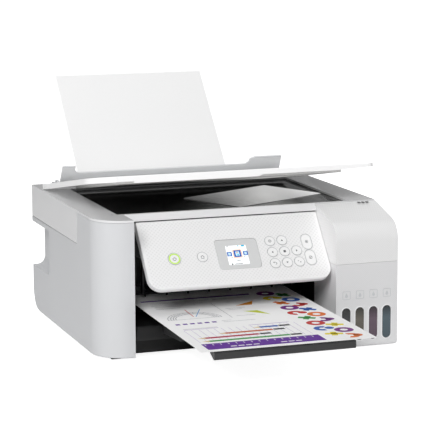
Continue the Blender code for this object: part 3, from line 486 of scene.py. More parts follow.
def pill(centre: tuple[float, float], half: float, radius: float, steps: int = 16) -> Outline:
    """Return an upright pill's outline; with half equal to radius it is a circle."""
    x, y = centre
    reach = half - radius
    return arc((x, y + reach), radius, 0, 180, steps) + arc((x, y - reach), radius, 180, 360, steps)


def drop(centre: tuple[float, float], radius: float) -> Outline:
    """Return an ink drop's outline, round below and pointed above."""
    x, y = centre
    return arc((x, y), radius, 150, 390, 20) + [(x, y + 2.1 * radius)]


def stroke(start: tuple[float, float], end: tuple[float, float], width: float) -> Outline:
    """Return the outline of a straight line of a given width."""
    along = Vector((end[0] - start[0], end[1] - start[1])).normalized()
    side = Vector((-along.y, along.x)) * width / 2
    return [(start[0] - side.x, start[1] - side.y), (end[0] - side.x, end[1] - side.y),
            (end[0] + side.x, end[1] + side.y), (start[0] + side.x, start[1] + side.y)]


def curve_stroke(centre: tuple[float, float], radius: float, start: float, end: float,
                 width: float) -> Outline:
    """Return the outline of an arc-shaped line of a given width."""
    return (arc(centre, radius + width / 2, start, end, 20)
            + arc(centre, radius - width / 2, end, start, 20))


# ---- shapes -------------------------------------------------------------------------------------
def round_edges(shape: Shape, width: float, segments: int = 3,
                wanted: Optional[Callable[[bmesh.types.BMEdge], bool]] = None) -> Shape:
    """Round a shape's sharp edges.

    Args:
        shape: The shape, which is changed.
        width: The rounding's width in millimetres.
        segments: How many faces the rounding has across.
        wanted: Tells which edges are rounded; None means all sharp ones.

    Returns:
        The same shape.
    """
    edges = []
    for edge in shape.edges:
        if len(edge.link_faces) != 2 or edge.calc_face_angle(0.0) < SHARP:
            continue
        if wanted is None or wanted(edge):
            edges.append(edge)
    bmesh.ops.bevel(shape, geom=edges, offset=width, offset_type="OFFSET", segments=segments,
                    profile=0.5, affect="EDGES", material=-1, clamp_overlap=True, loop_slide=True)
    return shape


def slab(low: Iterable[float], high: Iterable[float], width: float = 0.0) -> Shape:
    """Return a box between two corners, with its edges rounded by width."""
    low, high = Vector(low), Vector(high)
    shape = bmesh.new()
    bmesh.ops.create_cube(shape, size=1.0)
    bmesh.ops.scale(shape, vec=high - low, verts=shape.verts)
    bmesh.ops.translate(shape, vec=(low + high) / 2, verts=shape.verts)
    if width:
        round_edges(shape, width)
    return shape


def raise_faces(shape: Shape, faces: list, direction: Vector) -> Shape:
    """Extrude flat faces along direction into a closed solid."""
    grown = bmesh.ops.extrude_face_region(shape, geom=faces)
    moved = [item for item in grown["geom"] if isinstance(item, bmesh.types.BMVert)]
    bmesh.ops.translate(shape, vec=direction, verts=moved)
    bmesh.ops.recalc_face_normals(shape, faces=shape.faces)
    return shape


def lay(axis: str, height: float, point: tuple[float, float]) -> Vector:
    """Return a point of an outline in space; it lies in YZ for X, XZ for Y and XY for Z."""
    a, b = point
    return {"X": Vector((height, a, b)), "Y": Vector((a, height, b)), "Z": Vector((a, b, height))}[axis]


def plate(outline: Outline, low: float, high: float, axis: str = "Y", width: float = 0.0) -> Shape:
    """Return an outline extruded along axis from low to high, with rounded edges."""
    shape = bmesh.new()
    face = shape.faces.new([shape.verts.new(lay(axis, low, point)) for point in outline])
    raise_faces(shape, [face], lay(axis, high - low, (0.0, 0.0)))
    if width:
        round_edges(shape, width, 2)
    return shape


def band(outer: Outline, inner: Outline, low: float, high: float, axis: str = "Y",
         width: float = 0.0) -> Shape:
    """Return a closed band between two outlines with equally many points."""
    shape = bmesh.new()
    loops = []
    for outline in (outer, inner):
        verts = [shape.verts.new(lay(axis, low, point)) for point in outline]
        loops.extend(shape.edges.new((a, b)) for a, b in zip(verts, verts[1:] + verts[:1]))
    made = bmesh.ops.bridge_loops(shape, edges=loops)
    raise_faces(shape, made["faces"], lay(axis, high - low, (0.0, 0.0)))
    if width:
        round_edges(shape, width, 2)
    return shape


def rod(axis: str, centre: tuple[float, float], radius: float, low: float, high: float,
        width: float = 0.0, steps: int = 32) -> Shape:
    """Return a cylinder along axis, with its rims rounded."""
    return plate(circle(centre, radius, steps), low, high, axis, width)


def join(shapes: Iterable[Shape]) -> Shape:
    """Return one shape that holds all the given ones, which are used up."""
    result = bmesh.new()
    for shape in shapes:
        mesh = bpy.data.meshes.new("working")
        shape.to_mesh(mesh)
        shape.free()
        result.from_mesh(mesh)
        bpy.data.meshes.remove(mesh)
    return result


def carve(shape: Shape, cutter: Shape) -> Shape:
    """Return shape with cutter taken out of it by an exact Boolean; both are used up."""
    pair = []
    for part in (shape, cutter):
        mesh = bpy.data.meshes.new("working")
        part.to_mesh(mesh)
        part.free()
        item = bpy.data.objects.new("working", mesh)
        bpy.context.scene.collection.objects.link(item)
        pair.append(item)
    modifier = pair[0].modifiers.new("carve", "BOOLEAN")
    modifier.solver = "EXACT"
    modifier.object = pair[1]
    evaluated = pair[0].evaluated_get(bpy.context.evaluated_depsgraph_get())
    result = bmesh.new()
    result.from_mesh(evaluated.to_mesh())
    evaluated.to_mesh_clear()
    for item in pair:
        mesh = item.data
        bpy.data.objects.remove(item)
        bpy.data.meshes.remove(mesh)
    return result


# ---- frames and pieces --------------------------------------------------------------------------
@dataclass(frozen=True)
class Slope:
    """A frame turned about the world's X axis, whose Z leans back by tilt radians."""

    tilt: float = 0.0

    @property
    def matrix(self) -> Matrix:
        """Return the turn from this frame to the world."""
        return Matrix.Rotation(-self.tilt, 4, "X")

    def extent(self, node: str) -> tuple[Vector, Vector]:
        """Return a CAD node's lowest and highest corner in this frame, in millimetres."""
        back = self.matrix.inverted()
        points = [back @ vertex.co / MM for vertex in bpy.data.objects[node].data.vertices]
        low = Vector(min(point[i] for point in points) for i in range(3))
        high = Vector(max(point[i] for point in points) for i in range(3))
        return low, high


LEVEL = Slope()


@dataclass
class Frame:
    """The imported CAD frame: its record, its joints and what this script adds round them."""

    data: dict

    def joint(self, name: str) -> dict:
        """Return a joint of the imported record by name."""
        return next(joint for joint in self.data["joints"] if joint["name"] == name)

    def slope(self, joint: str, along: str) -> Slope:
        """Return the frame in which a slide runs along one of Y, -Y or Z."""
        _, y, z = self.joint(joint)["axis"]
        angle = {"Y": math.atan2(-z, y), "-Y": math.atan2(z, -y), "Z": math.atan2(y, z)}[along]
        return Slope(angle)

    def shell(self, node: str, width: float, segments: int = 3,
              broad: Optional[Callable[[bmesh.types.BMEdge], bool]] = None,
              broad_width: float = 0.0) -> Shape:
        """Return a merged copy of a CAD node with rounded edges, in millimetres.

        Args:
            node: The CAD node.
            width: The rounding of every sharp edge.
            segments: How many faces the rounding has across.
            broad: Tells which edges get the broad rounding first.
            broad_width: The broad rounding's width.
        """
        shape = bmesh.new()
        shape.from_mesh(self.data["nodes"][node].data)
        bmesh.ops.scale(shape, vec=(1 / MM,) * 3, verts=shape.verts)
        bmesh.ops.remove_doubles(shape, verts=shape.verts, dist=0.003)
        bmesh.ops.dissolve_limit(shape, angle_limit=math.radians(0.4), verts=shape.verts,
                                 edges=shape.edges)
        if broad:
            round_edges(shape, broad_width, 5, broad)
        return round_edges(shape, width, segments)

    def publish(self, name: str, shape: Shape, finish: Finish, body: str, slope: Slope = LEVEL,
                slot: Optional[str] = None, replaces: Iterable[str] = ()) -> bpy.types.Object:
        """Make a shape a finished piece that rides on a CAD body.

        Args:
            name: The piece's name.
            shape: Its shape in millimetres, in the frame that slope gives; it is used up.
            finish: Its finish.
            body: The CAD body it rides on.
            slope: The frame it was modelled in.
            slot: The record's material slot it belongs to, or None; not used.
            replaces: The CAD nodes it stands for.

        Returns:
            The new object.
        """
        matrix = Matrix.Diagonal((MM, MM, MM, 1.0)) @ slope.matrix
        bmesh.ops.transform(shape, matrix=matrix, verts=shape.verts)
        mesh = bpy.data.meshes.new(name)
        shape.to_mesh(mesh)
        shape.free()
        mesh.shade_smooth()
        mesh.set_sharp_from_angle(angle=SHARP)
        mesh.materials.append(finish.material())
        piece = bpy.data.objects.new(name, mesh)
        bpy.context.scene.collection.objects.link(piece)
        weighted = piece.modifiers.new("even_shading", "WEIGHTED_NORMAL")
        weighted.keep_sharp = True
        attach(piece, body)
        if replaces:
            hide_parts(*replaces)
        LOG.info("made %s on %s with %s, %d faces", name, body, finish.name, len(mesh.polygons))
        return piece

    def finish_node(self, node: str, finish: Finish) -> None:
        """Give a CAD node that stays as it is a better material."""
        item = self.data["nodes"][node]
        item.data.materials.clear()
        item.data.materials.append(finish.material())
        LOG.info("finished %s with %s", node, finish.name)

    def soften(self, node: str, finish: Finish, body: str, width: float, slot: str,
               **broad: object) -> bpy.types.Object:
        """Replace a CAD node by a copy of itself with moulded, rounded edges."""
        return self.publish(node + "_moulded", self.shell(node, width, **broad), finish, body,
                            slot=slot, replaces=[node])


def floor_edge(edge: bmesh.types.BMEdge) -> bool:
    """Tell whether an edge runs round the outside of a shell's floor."""
    down = [face for face in edge.link_faces if face.normal.z < -0.9]
    outward = [face for face in edge.link_faces if abs(face.normal.z) < 0.3]
    if not down or not outward:
        return False
    middle = (edge.verts[0].co + edge.verts[1].co) / 2
    normal = outward[0].normal
    return middle.z < 8.0 and (normal.y < -0.2 or normal.x * middle.x > 0.6 * abs(middle.x))


def front_top_edge(edge: bmesh.types.BMEdge) -> bool:
    """Tell whether an edge lies between a face towards the front and one upwards."""
    normals = [face.normal for face in edge.link_faces]
    return min(normal.y for normal in normals) < -0.7 and max(normal.z for normal in normals) > 0.7


# ---- sub-assemblies -----------------------------------------------------------------------------
@dataclass
class Casing:
    """The fixed shells: sides, rear, floor pan, feet and the rear's vents and sockets."""

    frame: Frame
    edge: float = 0.7
    corner: float = 6.0
    vent_count: int = 14
    vent_pitch: float = 9.0
    vent_size: tuple[float, float] = (2.4, 26.0)
    screw_radius: float = 3.6

    def build(self) -> None:
        """Build every fixed shell."""
        for node in ("left_housing", "right_housing"):
            self.frame.soften(node, SHELL, "chassis", self.edge, "light_grey_abs",
                              broad=floor_edge, broad_width=self.corner)
        self.rear()
        self.frame.soften("base_pan", BLACK, "chassis", 0.5, "black_abs")
        for node in ("foot_front_left", "foot_front_right"):
            self.frame.soften(node, RUBBER, "chassis", 0.6, "black_rubber")
        self.sockets()

    def rear(self) -> None:
        """Cut a row of vent slots through the rear wall and add its four screws."""
        low, high = LEVEL.extent("rear_housing")
        width, height = self.vent_size
        top = high.z - 14.0
        start = low.x + 30.0
        slots = []
        for index in range(self.vent_count):
            x = start + index * self.vent_pitch
            outline = pill((x, top - height / 2), height / 2, width / 2)
            slots.append(plate(outline, high.y - 6.0, high.y + 4.0))
        wall = carve(self.frame.shell("rear_housing", 0.5), join(slots))
        self.frame.publish("rear_wall_vented", wall, SHELL, "chassis", slot="light_grey_abs",
                           replaces=["rear_housing"])
        screws = []
        for x in (low.x + 9.0, high.x - 9.0):
            for z in (low.z + 40.0, high.z - 9.0):
                screws.append(rod("Y", (x, z), self.screw_radius, high.y - 0.2, high.y + 0.5, 0.4))
        self.frame.publish("rear_screws", join(screws), STEEL, "chassis", slot="zinc_plated_steel")

    def sockets(self) -> None:
        """Add the two pins of the mains inlet and the tongue of the data socket."""
        low, high = LEVEL.extent("power_supply")
        inlet = Vector((low.x + 22.0, high.y, low.z + 29.7))
        pins = [rod("Y", (inlet.x + side * 3.5, inlet.z), 1.1, inlet.y - 11.5, inlet.y - 3.0, 0.3)
                for side in (-1, 1)]
        self.frame.publish("mains_pins", join(pins), STEEL, "chassis", slot="zinc_plated_steel")
        low, high = LEVEL.extent("main_board")
        tongue = slab((132.6, high.y - 8.6, high.z - 7.6), (137.4, high.y - 1.5, high.z - 4.9), 0.3)
        self.frame.publish("data_tongue", tongue, BLACK, "chassis", slot="black_abs")


@dataclass
class Scanner:
    """The scanner unit: glossy top frame, glass, dark tub, sensor bar and the original on it."""

    frame: Frame
    edge: float = 0.6
    strip: tuple[float, float] = (134.0, 153.0)
    photo_turn: float = math.radians(26.0)

    def build(self) -> None:
        """Build the unit and the original."""
        self.frame.soften("scanner_bezel", GLOSS_WHITE, "scanner_unit", self.edge, "white_abs")
        self.frame.soften("scanner_tub", BLACK, "scanner_unit", 0.6, "black_abs")
        self.frame.finish_node("scanner_glass", GLASS)
        self.frame.soften("scan_carriage", BAY, "scan_head", 0.8, "black_abs")
        self.inner_trim()
        self.original()

    def inner_trim(self) -> None:
        """Add the grey strip at the right and the white reference strip at the left of the glass."""
        low, high = LEVEL.extent("scanner_glass")
        top = low.z - 0.6
        strip = slab((self.strip[0], low.y + 12.0, top - 1.4), (self.strip[1], high.y - 6.0, top), 0.3)
        self.frame.publish("glass_side_strip", strip, CHARCOAL, "scanner_unit", slot="black_abs")
        lamp = slab((-141.0, low.y + 24.0, top - 3.4), (-138.5, high.y - 34.0, top - 2.9), 0.15)
        self.frame.publish("sensor_lens", lamp, SCREEN, "scan_head")
        start, level = low.y + 0.4, LEVEL.extent("original_sheet")[1].z + 2.3
        mark = plate([(low.x - 2.0, start), (low.x + 1.0, start + 2.0), (low.x - 2.0, start + 4.0)],
                     level, level + 0.05, "Z")
        self.frame.publish("corner_mark", mark, LEGEND, "scanner_unit")

    def original(self) -> None:
        """Replace the original by a thin glossy print."""
        low, high = LEVEL.extent("original_sheet")
        middle = (low + high) / 2
        # glow=0.5 is painted light that brightens the print lying in the lid's shade.
        finish = PhotoPaper("photo_print_back_painted_glow", "#F2F2F2", 0.22, 0.4, glow=0.5, turn=self.photo_turn,
                            centre_mm=(middle.x, middle.y))
        shape = plate(rounded((-75.5, -50.5), (75.5, 50.5), 1.5), 0.0, 0.3, "Z")
        turn = Matrix.Translation((middle.x, middle.y, low.z + 0.05)) @ Matrix.Rotation(
            self.photo_turn, 4, "Z")
        bmesh.ops.transform(shape, matrix=turn, verts=shape.verts)
        self.frame.publish("original_print", shape, finish, "scanner_unit", slot="white_paper",
                           replaces=["original_sheet"])


@dataclass
class Lid:
    """The document lid with its pressing pad."""

    frame: Frame
    edge: float = 0.75
    pad_edge: float = 1.4

    def build(self) -> None:
        """Build the lid's shell and its foam pad."""
        slope = Slope(math.radians(-self.frame.joint("lid_open")["range_deg"][0]))
        self.frame.soften("document_lid", LID_WHITE_PAINTED_GLOW, "lid", self.edge, "white_abs")
        low, high = slope.extent("lid_pad")
        pad = slab(low + Vector((0.3, 0.3, 0.0)), high - Vector((0.3, 0.3, 0.2)), self.pad_edge)
        piece = self.frame.publish("pressing_pad", pad, FOAM, "lid", slope, "textured_white_panel",
                                   ["lid_pad"])


@dataclass
class Panel:
    """The tilting control panel: lattice face, display and twelve keys with their symbols."""

    frame: Frame
    margin: float = 2.8
    key_proud: float = 0.35
    gap_shade_width: float = 0.55
    screen: tuple[float, float, float, float] = (-23.9, 2.4, 40.9, 67.2)
    mark: float = 0.07
    light_outer: float = 7.2
    light_inner: float = 5.5
    slope: Slope = field(init=False)
    face: float = field(init=False)
    top: float = field(init=False)

    def __post_init__(self) -> None:
        """Read the panel's frame from the way its keys travel."""
        self.slope = self.frame.slope("home_button_press", "Y")
        low, high = self.slope.extent("control_panel")
        self.face = low.y
        self.top = high.z

    def build(self) -> None:
        """Build the panel, its display and its keys."""
        low, high = self.slope.extent("control_panel")
        centre = ((low.x + high.x) / 2, (low.z + high.z) / 2)
        half = ((high.x - low.x) / 2 - self.margin, (high.z - low.z) / 2 - self.margin)
        # The panel's lattice hollows get a painted shade.
        lattice = LatticeAbs("panel_lattice_abs", "#F4F4F4", 0.42, tilt=self.slope.tilt,
                             painted_hollow_shade="#F0F0F0", centre_mm=centre, half_mm=half)
        self.frame.soften("control_panel", lattice, "panel", 1.5, "textured_white_panel")
        self.frame.soften("display", WINDOW, "panel", 0.35, "display_window")
        self.build_screen()
        for name, symbol in self.symbols().items():
            self.build_key(name, symbol)

    def mark_plate(self, outline: Outline, level: float, height: float) -> Shape:
        """Return a thin printed mark on the face; outline is in x and the distance down the face."""
        flipped = [(x, self.top - down) for x, down in reversed(outline)]
        return plate(flipped, level - height, level)

    def build_screen(self) -> None:
        """Build the lit screen with its plain icons, arrows and status marks."""
        left, right, top, bottom = self.screen
        level = self.slope.extent("display")[0].y
        lit = self.mark_plate(rounded((left, top), (right, bottom), 0.6), level, 0.1)
        self.frame.publish("screen", lit, SCREEN, "panel", self.slope, "display_window")
        level -= 0.1
        tiles = [((-20.6, 52.2), 3.0), ((-10.4, 52.2), 4.6), ((0.0, 52.2), 3.0)]
        frames = [self.mark_plate(rounded((x - h, y - h), (x + h, y + h), 0.8), level, 0.05)
                  for (x, y), h in tiles]
        self.frame.publish("screen_tiles", join(frames), ICON_BLUE, "panel", self.slope)
        level -= 0.05
        sheets = [self.mark_plate(rounded((x - h * 0.55, y - h * 0.65), (x + h * 0.55, y + h * 0.65), 0.3),
                                  level, 0.04) for (x, y), h in tiles]
        self.frame.publish("screen_tile_marks", join(sheets), ICON_PALE, "panel", self.slope)
        (x, y), h = tiles[1]
        edge = band([(a, self.top - b) for a, b in reversed(rounded((x - h - 1.0, y - h - 1.0),
                                                                   (x + h + 1.0, y + h + 1.0), 1.4))],
                    [(a, self.top - b) for a, b in reversed(rounded((x - h - 0.3, y - h - 0.3),
                                                                   (x + h + 0.3, y + h + 0.3), 1.0))],
                    level, level + 0.05)
        dot = self.mark_plate(circle((x - 0.4, y - 1.6), 0.9, 20), level - 0.04, 0.03)
        self.frame.publish("screen_chosen_frame", join([edge, dot]), ICON_ORANGE, "panel", self.slope)
        status = [self.mark_plate(rounded((-3.6, 40.9), (0.4, 42.9), 0.4), level, 0.04),
                  self.mark_plate(circle((-7.6, 41.9), 0.8, 20), level, 0.04),
                  self.mark_plate(circle((x + 0.4, y + 1.8), 1.0, 20), level - 0.04, 0.03)]
        self.frame.publish("screen_status_marks", join(status), ICON_CYAN, "panel", self.slope)
        dark = [self.mark_plate([(-22.4, 41.9), (-20.8, 40.8), (-20.8, 43.0)], level, 0.04),
                self.mark_plate([(-19.4, 57.2), (-18.0, 56.2), (-18.0, 58.2)], level, 0.04),
                self.mark_plate([(-1.0, 57.2), (-2.4, 56.2), (-2.4, 58.2)], level, 0.04),
                self.mark_plate(circle((-19.8, 66.2), 1.0, 20), level, 0.04),
                self.mark_plate(stroke((-17.0, 66.2), (-6.5, 66.2), 0.7), level, 0.04),
                self.mark_plate(stroke((-12.8, 61.4), (-7.8, 61.4), 0.8), level, 0.04)]
        self.frame.publish("screen_dark_marks", join(dark), ICON_DARK, "panel", self.slope)

    def symbols(self) -> dict[str, list[Outline]]:
        """Return each key's printed symbol, as outlines about the key's centre, down positive."""
        triangle = [(-1.5, 0.9), (1.5, 0.9), (0.0, -1.1)]
        ring = [curve_stroke((0.0, 0.0), 1.7, 0, 180, 0.5), curve_stroke((0.0, 0.0), 1.7, 180, 360, 0.5)]
        return {
            "power_button": [curve_stroke((0.0, 0.3), 2.0, -60, 240, 0.6),
                             stroke((0.0, -2.4), (0.0, -0.4), 0.6)],
            "home_button": [[(-2.3, -0.2), (0.0, -2.3), (2.3, -0.2), (1.9, 0.2), (0.0, -1.6), (-1.9, 0.2)],
                            stroke((-1.6, 0.0), (-1.6, 1.9), 0.5), stroke((1.6, 0.0), (1.6, 1.9), 0.5),
                            stroke((-1.8, 1.9), (1.8, 1.9), 0.5)],
            "help_button": ring + [circle((0.0, 0.0), 0.6, 16)],
            "up_button": [triangle],
            "down_button": [[(x, -y) for x, y in reversed(triangle)]],
            "left_button": [[(y, x) for x, y in reversed(triangle)]],
            "right_button": [[(-y, x) for x, y in triangle]],
            "ok_button": [rounded((-1.5, -1.5), (1.5, 1.5), 0.5)],
            "back_button": [curve_stroke((0.2, 0.3), 1.5, -90, 100, 0.5),
                            stroke((0.2, -1.2), (-1.4, -1.2), 0.5),
                            [(-1.2, -2.3), (-1.2, -0.1), (-2.6, -1.2)]],
            "copies_button": [stroke((-2.1, -1.0), (-0.5, -1.0), 0.5), stroke((0.5, 0.9), (2.1, 0.9), 0.5),
                              stroke((1.3, 0.1), (1.3, 1.7), 0.5)],
            "start_button": ring + [[(0.0, -1.0), (1.0, 0.0), (0.0, 1.0), (-1.0, 0.0)]],
            "stop_button": [curve_stroke((0.0, 0.0), 1.9, 20, 180, 0.5),
                            curve_stroke((0.0, 0.0), 1.9, 200, 360, 0.5),
                            stroke((-1.3, 1.3), (1.3, -1.3), 0.5)],
        }

    def build_key(self, name: str, symbol: list[Outline]) -> None:
        """Build one key's cap, the ring of painted shade round it and its symbol."""
        low, high = self.slope.extent(name)
        centre = ((low.x + high.x) / 2, (low.z + high.z) / 2)
        radius = (high.x - low.x) / 2
        half = (high.z - low.z) / 2
        front = self.face - self.key_proud
        cap = plate(pill(centre, half, radius), front, high.y)
        round_edges(cap, 0.45, 3)
        self.frame.publish(name + "_cap", cap, KEY, name, self.slope, "button_white", [name])
        # Painted shade: a grey band just outside the gap round the key stands in for its shadow.
        gap_shade = band(pill(centre, half + 0.35 + self.gap_shade_width, radius + 0.35 + self.gap_shade_width),
                      pill(centre, half + 0.35, radius + 0.35), self.face - 0.1, self.face + 0.05)
        self.frame.publish(name + "_ring", gap_shade, KEY_GAP_SHADE, "panel", self.slope, "button_white")
        marks = []
        for outline in symbol:
            moved = [(centre[0] + x, centre[1] - y) for x, y in reversed(outline)]
            marks.append(plate(moved, front - self.mark, front))
        self.frame.publish(name + "_symbol", join(marks), LEGEND, name, self.slope)
        if name == "power_button":
            lit = band(pill(centre, self.light_outer, self.light_outer),
                       pill(centre, self.light_inner, self.light_inner), front - self.mark, front)
            self.frame.publish("power_light", lit, LED, name, self.slope)


@dataclass
class TankBlock:
    """The ink tanks' housing, cover, windows, tanks and filler caps."""

    frame: Frame
    outer_window: tuple[float, float] = (22.0, 7.1)
    inner_window: tuple[float, float] = (20.6, 5.8)
    badge_half: float = 5.2
    badge_height: float = 68.5

    def build(self) -> None:
        """Build the block."""
        self.frame.soften("tank_housing", BLOCK, "chassis", 0.7, "light_grey_abs")
        self.frame.soften("tank_cover", COVER, "cover", 0.9, "light_grey_abs")
        front = LEVEL.extent("tank_housing")[0].y
        rims, badges, drops = [], [], []
        for colour, finish in TANKS.items():
            node = "ink_tank_" + colour
            self.frame.finish_node(node, finish)
            centre = self.window(node)
            rims.append(band(pill(centre, *self.outer_window), pill(centre, *self.inner_window),
                             front - 0.45, front + 0.4, width=0.35))
            badge = (centre[0], self.badge_height)
            badges.append(self.badge(badge, front))
            drops.append(plate(drop((badge[0], badge[1] - 1.2), 1.9), front - 0.28, front + 0.1,
                               width=0.12))
            self.cap(colour, finish)
        self.frame.publish("window_rims", join(rims), WHITE, "chassis", slot="light_grey_abs")
        self.frame.publish("tank_badges", join(badges), SMOKE, "chassis", slot="light_grey_abs")
        self.frame.publish("tank_drops", join(drops), SMOKE, "chassis", slot="light_grey_abs")
        self.latch_mark()

    def window(self, node: str) -> tuple[float, float]:
        """Return the middle of a tank's window, in X and Z."""
        low, high = LEVEL.extent(node)
        return (low.x + high.x) / 2, low.z + 26.65

    def badge(self, centre: tuple[float, float], front: float) -> Shape:
        """Return the thin raised square above a window."""
        outlines = []
        for half, radius in ((self.badge_half, 1.4), (self.badge_half - 0.5, 1.0)):
            outlines.append(rounded((centre[0] - half, centre[1] - half),
                                    (centre[0] + half, centre[1] + half), radius))
        return band(outlines[0], outlines[1], front - 0.45, front + 0.1, width=0.12)

    def cap(self, colour: str, finish: Finish) -> None:
        """Give a filler cap rounded edges and a coloured dot."""
        node = "tank_cap_" + colour
        body = "cap_" + colour
        self.frame.soften(node, SMOKE, body, 0.5, "mid_grey_abs")
        low, high = LEVEL.extent(node)
        dot = rod("Z", ((low.x + high.x) / 2, low.y + 7.5), 3.6, high.z - 1.3, high.z - 0.9, 0.15)
        self.frame.publish(node + "_dot", dot, finish, body)

    def latch_mark(self) -> None:
        """Add the small dark pad moulded in the cover's top."""
        low, high = LEVEL.extent("tank_cover")
        marks = []
        for x in (high.x - 27.0, high.x - 21.6, high.x - 16.2):
            marks.append(slab((x, high.y - 9.0, high.z - 0.2), (x + 3.4, high.y - 4.4, high.z + 0.25), 0.2))
        self.frame.publish("cover_grip_dots", join(marks), CHARCOAL, "cover")


@dataclass
class Feeder:
    """The rear feeder: frame, guard flap, support, edge guides and the loaded sheets."""

    frame: Frame
    guard_lean: float = math.radians(29.0)
    sheet_count: int = 7

    def build(self) -> None:
        """Build the feeder."""
        slope = self.frame.slope("support_slide", "Z")
        self.frame.soften("feeder_frame", SMOKE, "chassis", 0.5, "mid_grey_abs")
        self.frame.soften("feed_guard", FLAP, "guard", 0.5, "mid_grey_abs")
        self.frame.soften("paper_support", SMOKE, "support", 0.7, "mid_grey_abs")
        for side in ("left", "right"):
            self.frame.soften("edge_guide_" + side, SMOKE, "guide_" + side, 0.4, "mid_grey_abs")
        self.frame.finish_node("feed_roller", RUBBER)
        self.guard_rim()
        self.support_grip(slope)
        self.sheets(slope)

    def guard_rim(self) -> None:
        """Add the pale bead along the flap's upper edges."""
        slope = Slope(-self.guard_lean)
        low, high = slope.extent("feed_guard")
        middle = (low.y + high.y) / 2
        beads = []
        for start, end in ((low.x + 3.0, -137.1), (115.9, high.x - 3.0)):
            beads.append(slab((start, middle - 1.5, high.z - 1.6), (end, middle + 1.5, high.z - 0.2), 0.5))
        self.frame.publish("guard_beads", join(beads), SHELL, "guard", slope, "mid_grey_abs")

    def support_grip(self, slope: Slope) -> None:
        """Add the raised grip at the top of the paper support's back."""
        low, high = slope.extent("paper_support")
        middle = (low.x + high.x) / 2
        grips = [slab((middle - 16.0, high.y - 0.3, high.z - 12.0 - 4.0 * row),
                      (middle + 16.0, high.y + 0.7, high.z - 10.4 - 4.0 * row), 0.4) for row in range(4)]
        self.frame.publish("support_grip_ribs", join(grips), SMOKE, "support", slope, "mid_grey_abs")

    def sheets(self, slope: Slope) -> None:
        """Build the loaded stack as separate sheets, each a little out of line with the last."""
        low, high = slope.extent("feed_sheets")
        pitch = (high.y - low.y) / self.sheet_count
        shapes = []
        for index in range(self.sheet_count):
            shift = 0.5 * math.sin(2.3 * index)
            rear = high.y - pitch * index
            shapes.append(slab((low.x + 0.6 + shift, rear - 0.12, low.z),
                               (high.x - 0.6 + shift, rear, high.z - 0.4 - 0.3 * abs(shift))))
        self.frame.publish("loaded_sheets", join(shapes), PAPER, "feed_stack", slope, "white_paper",
                           ["feed_sheets"])


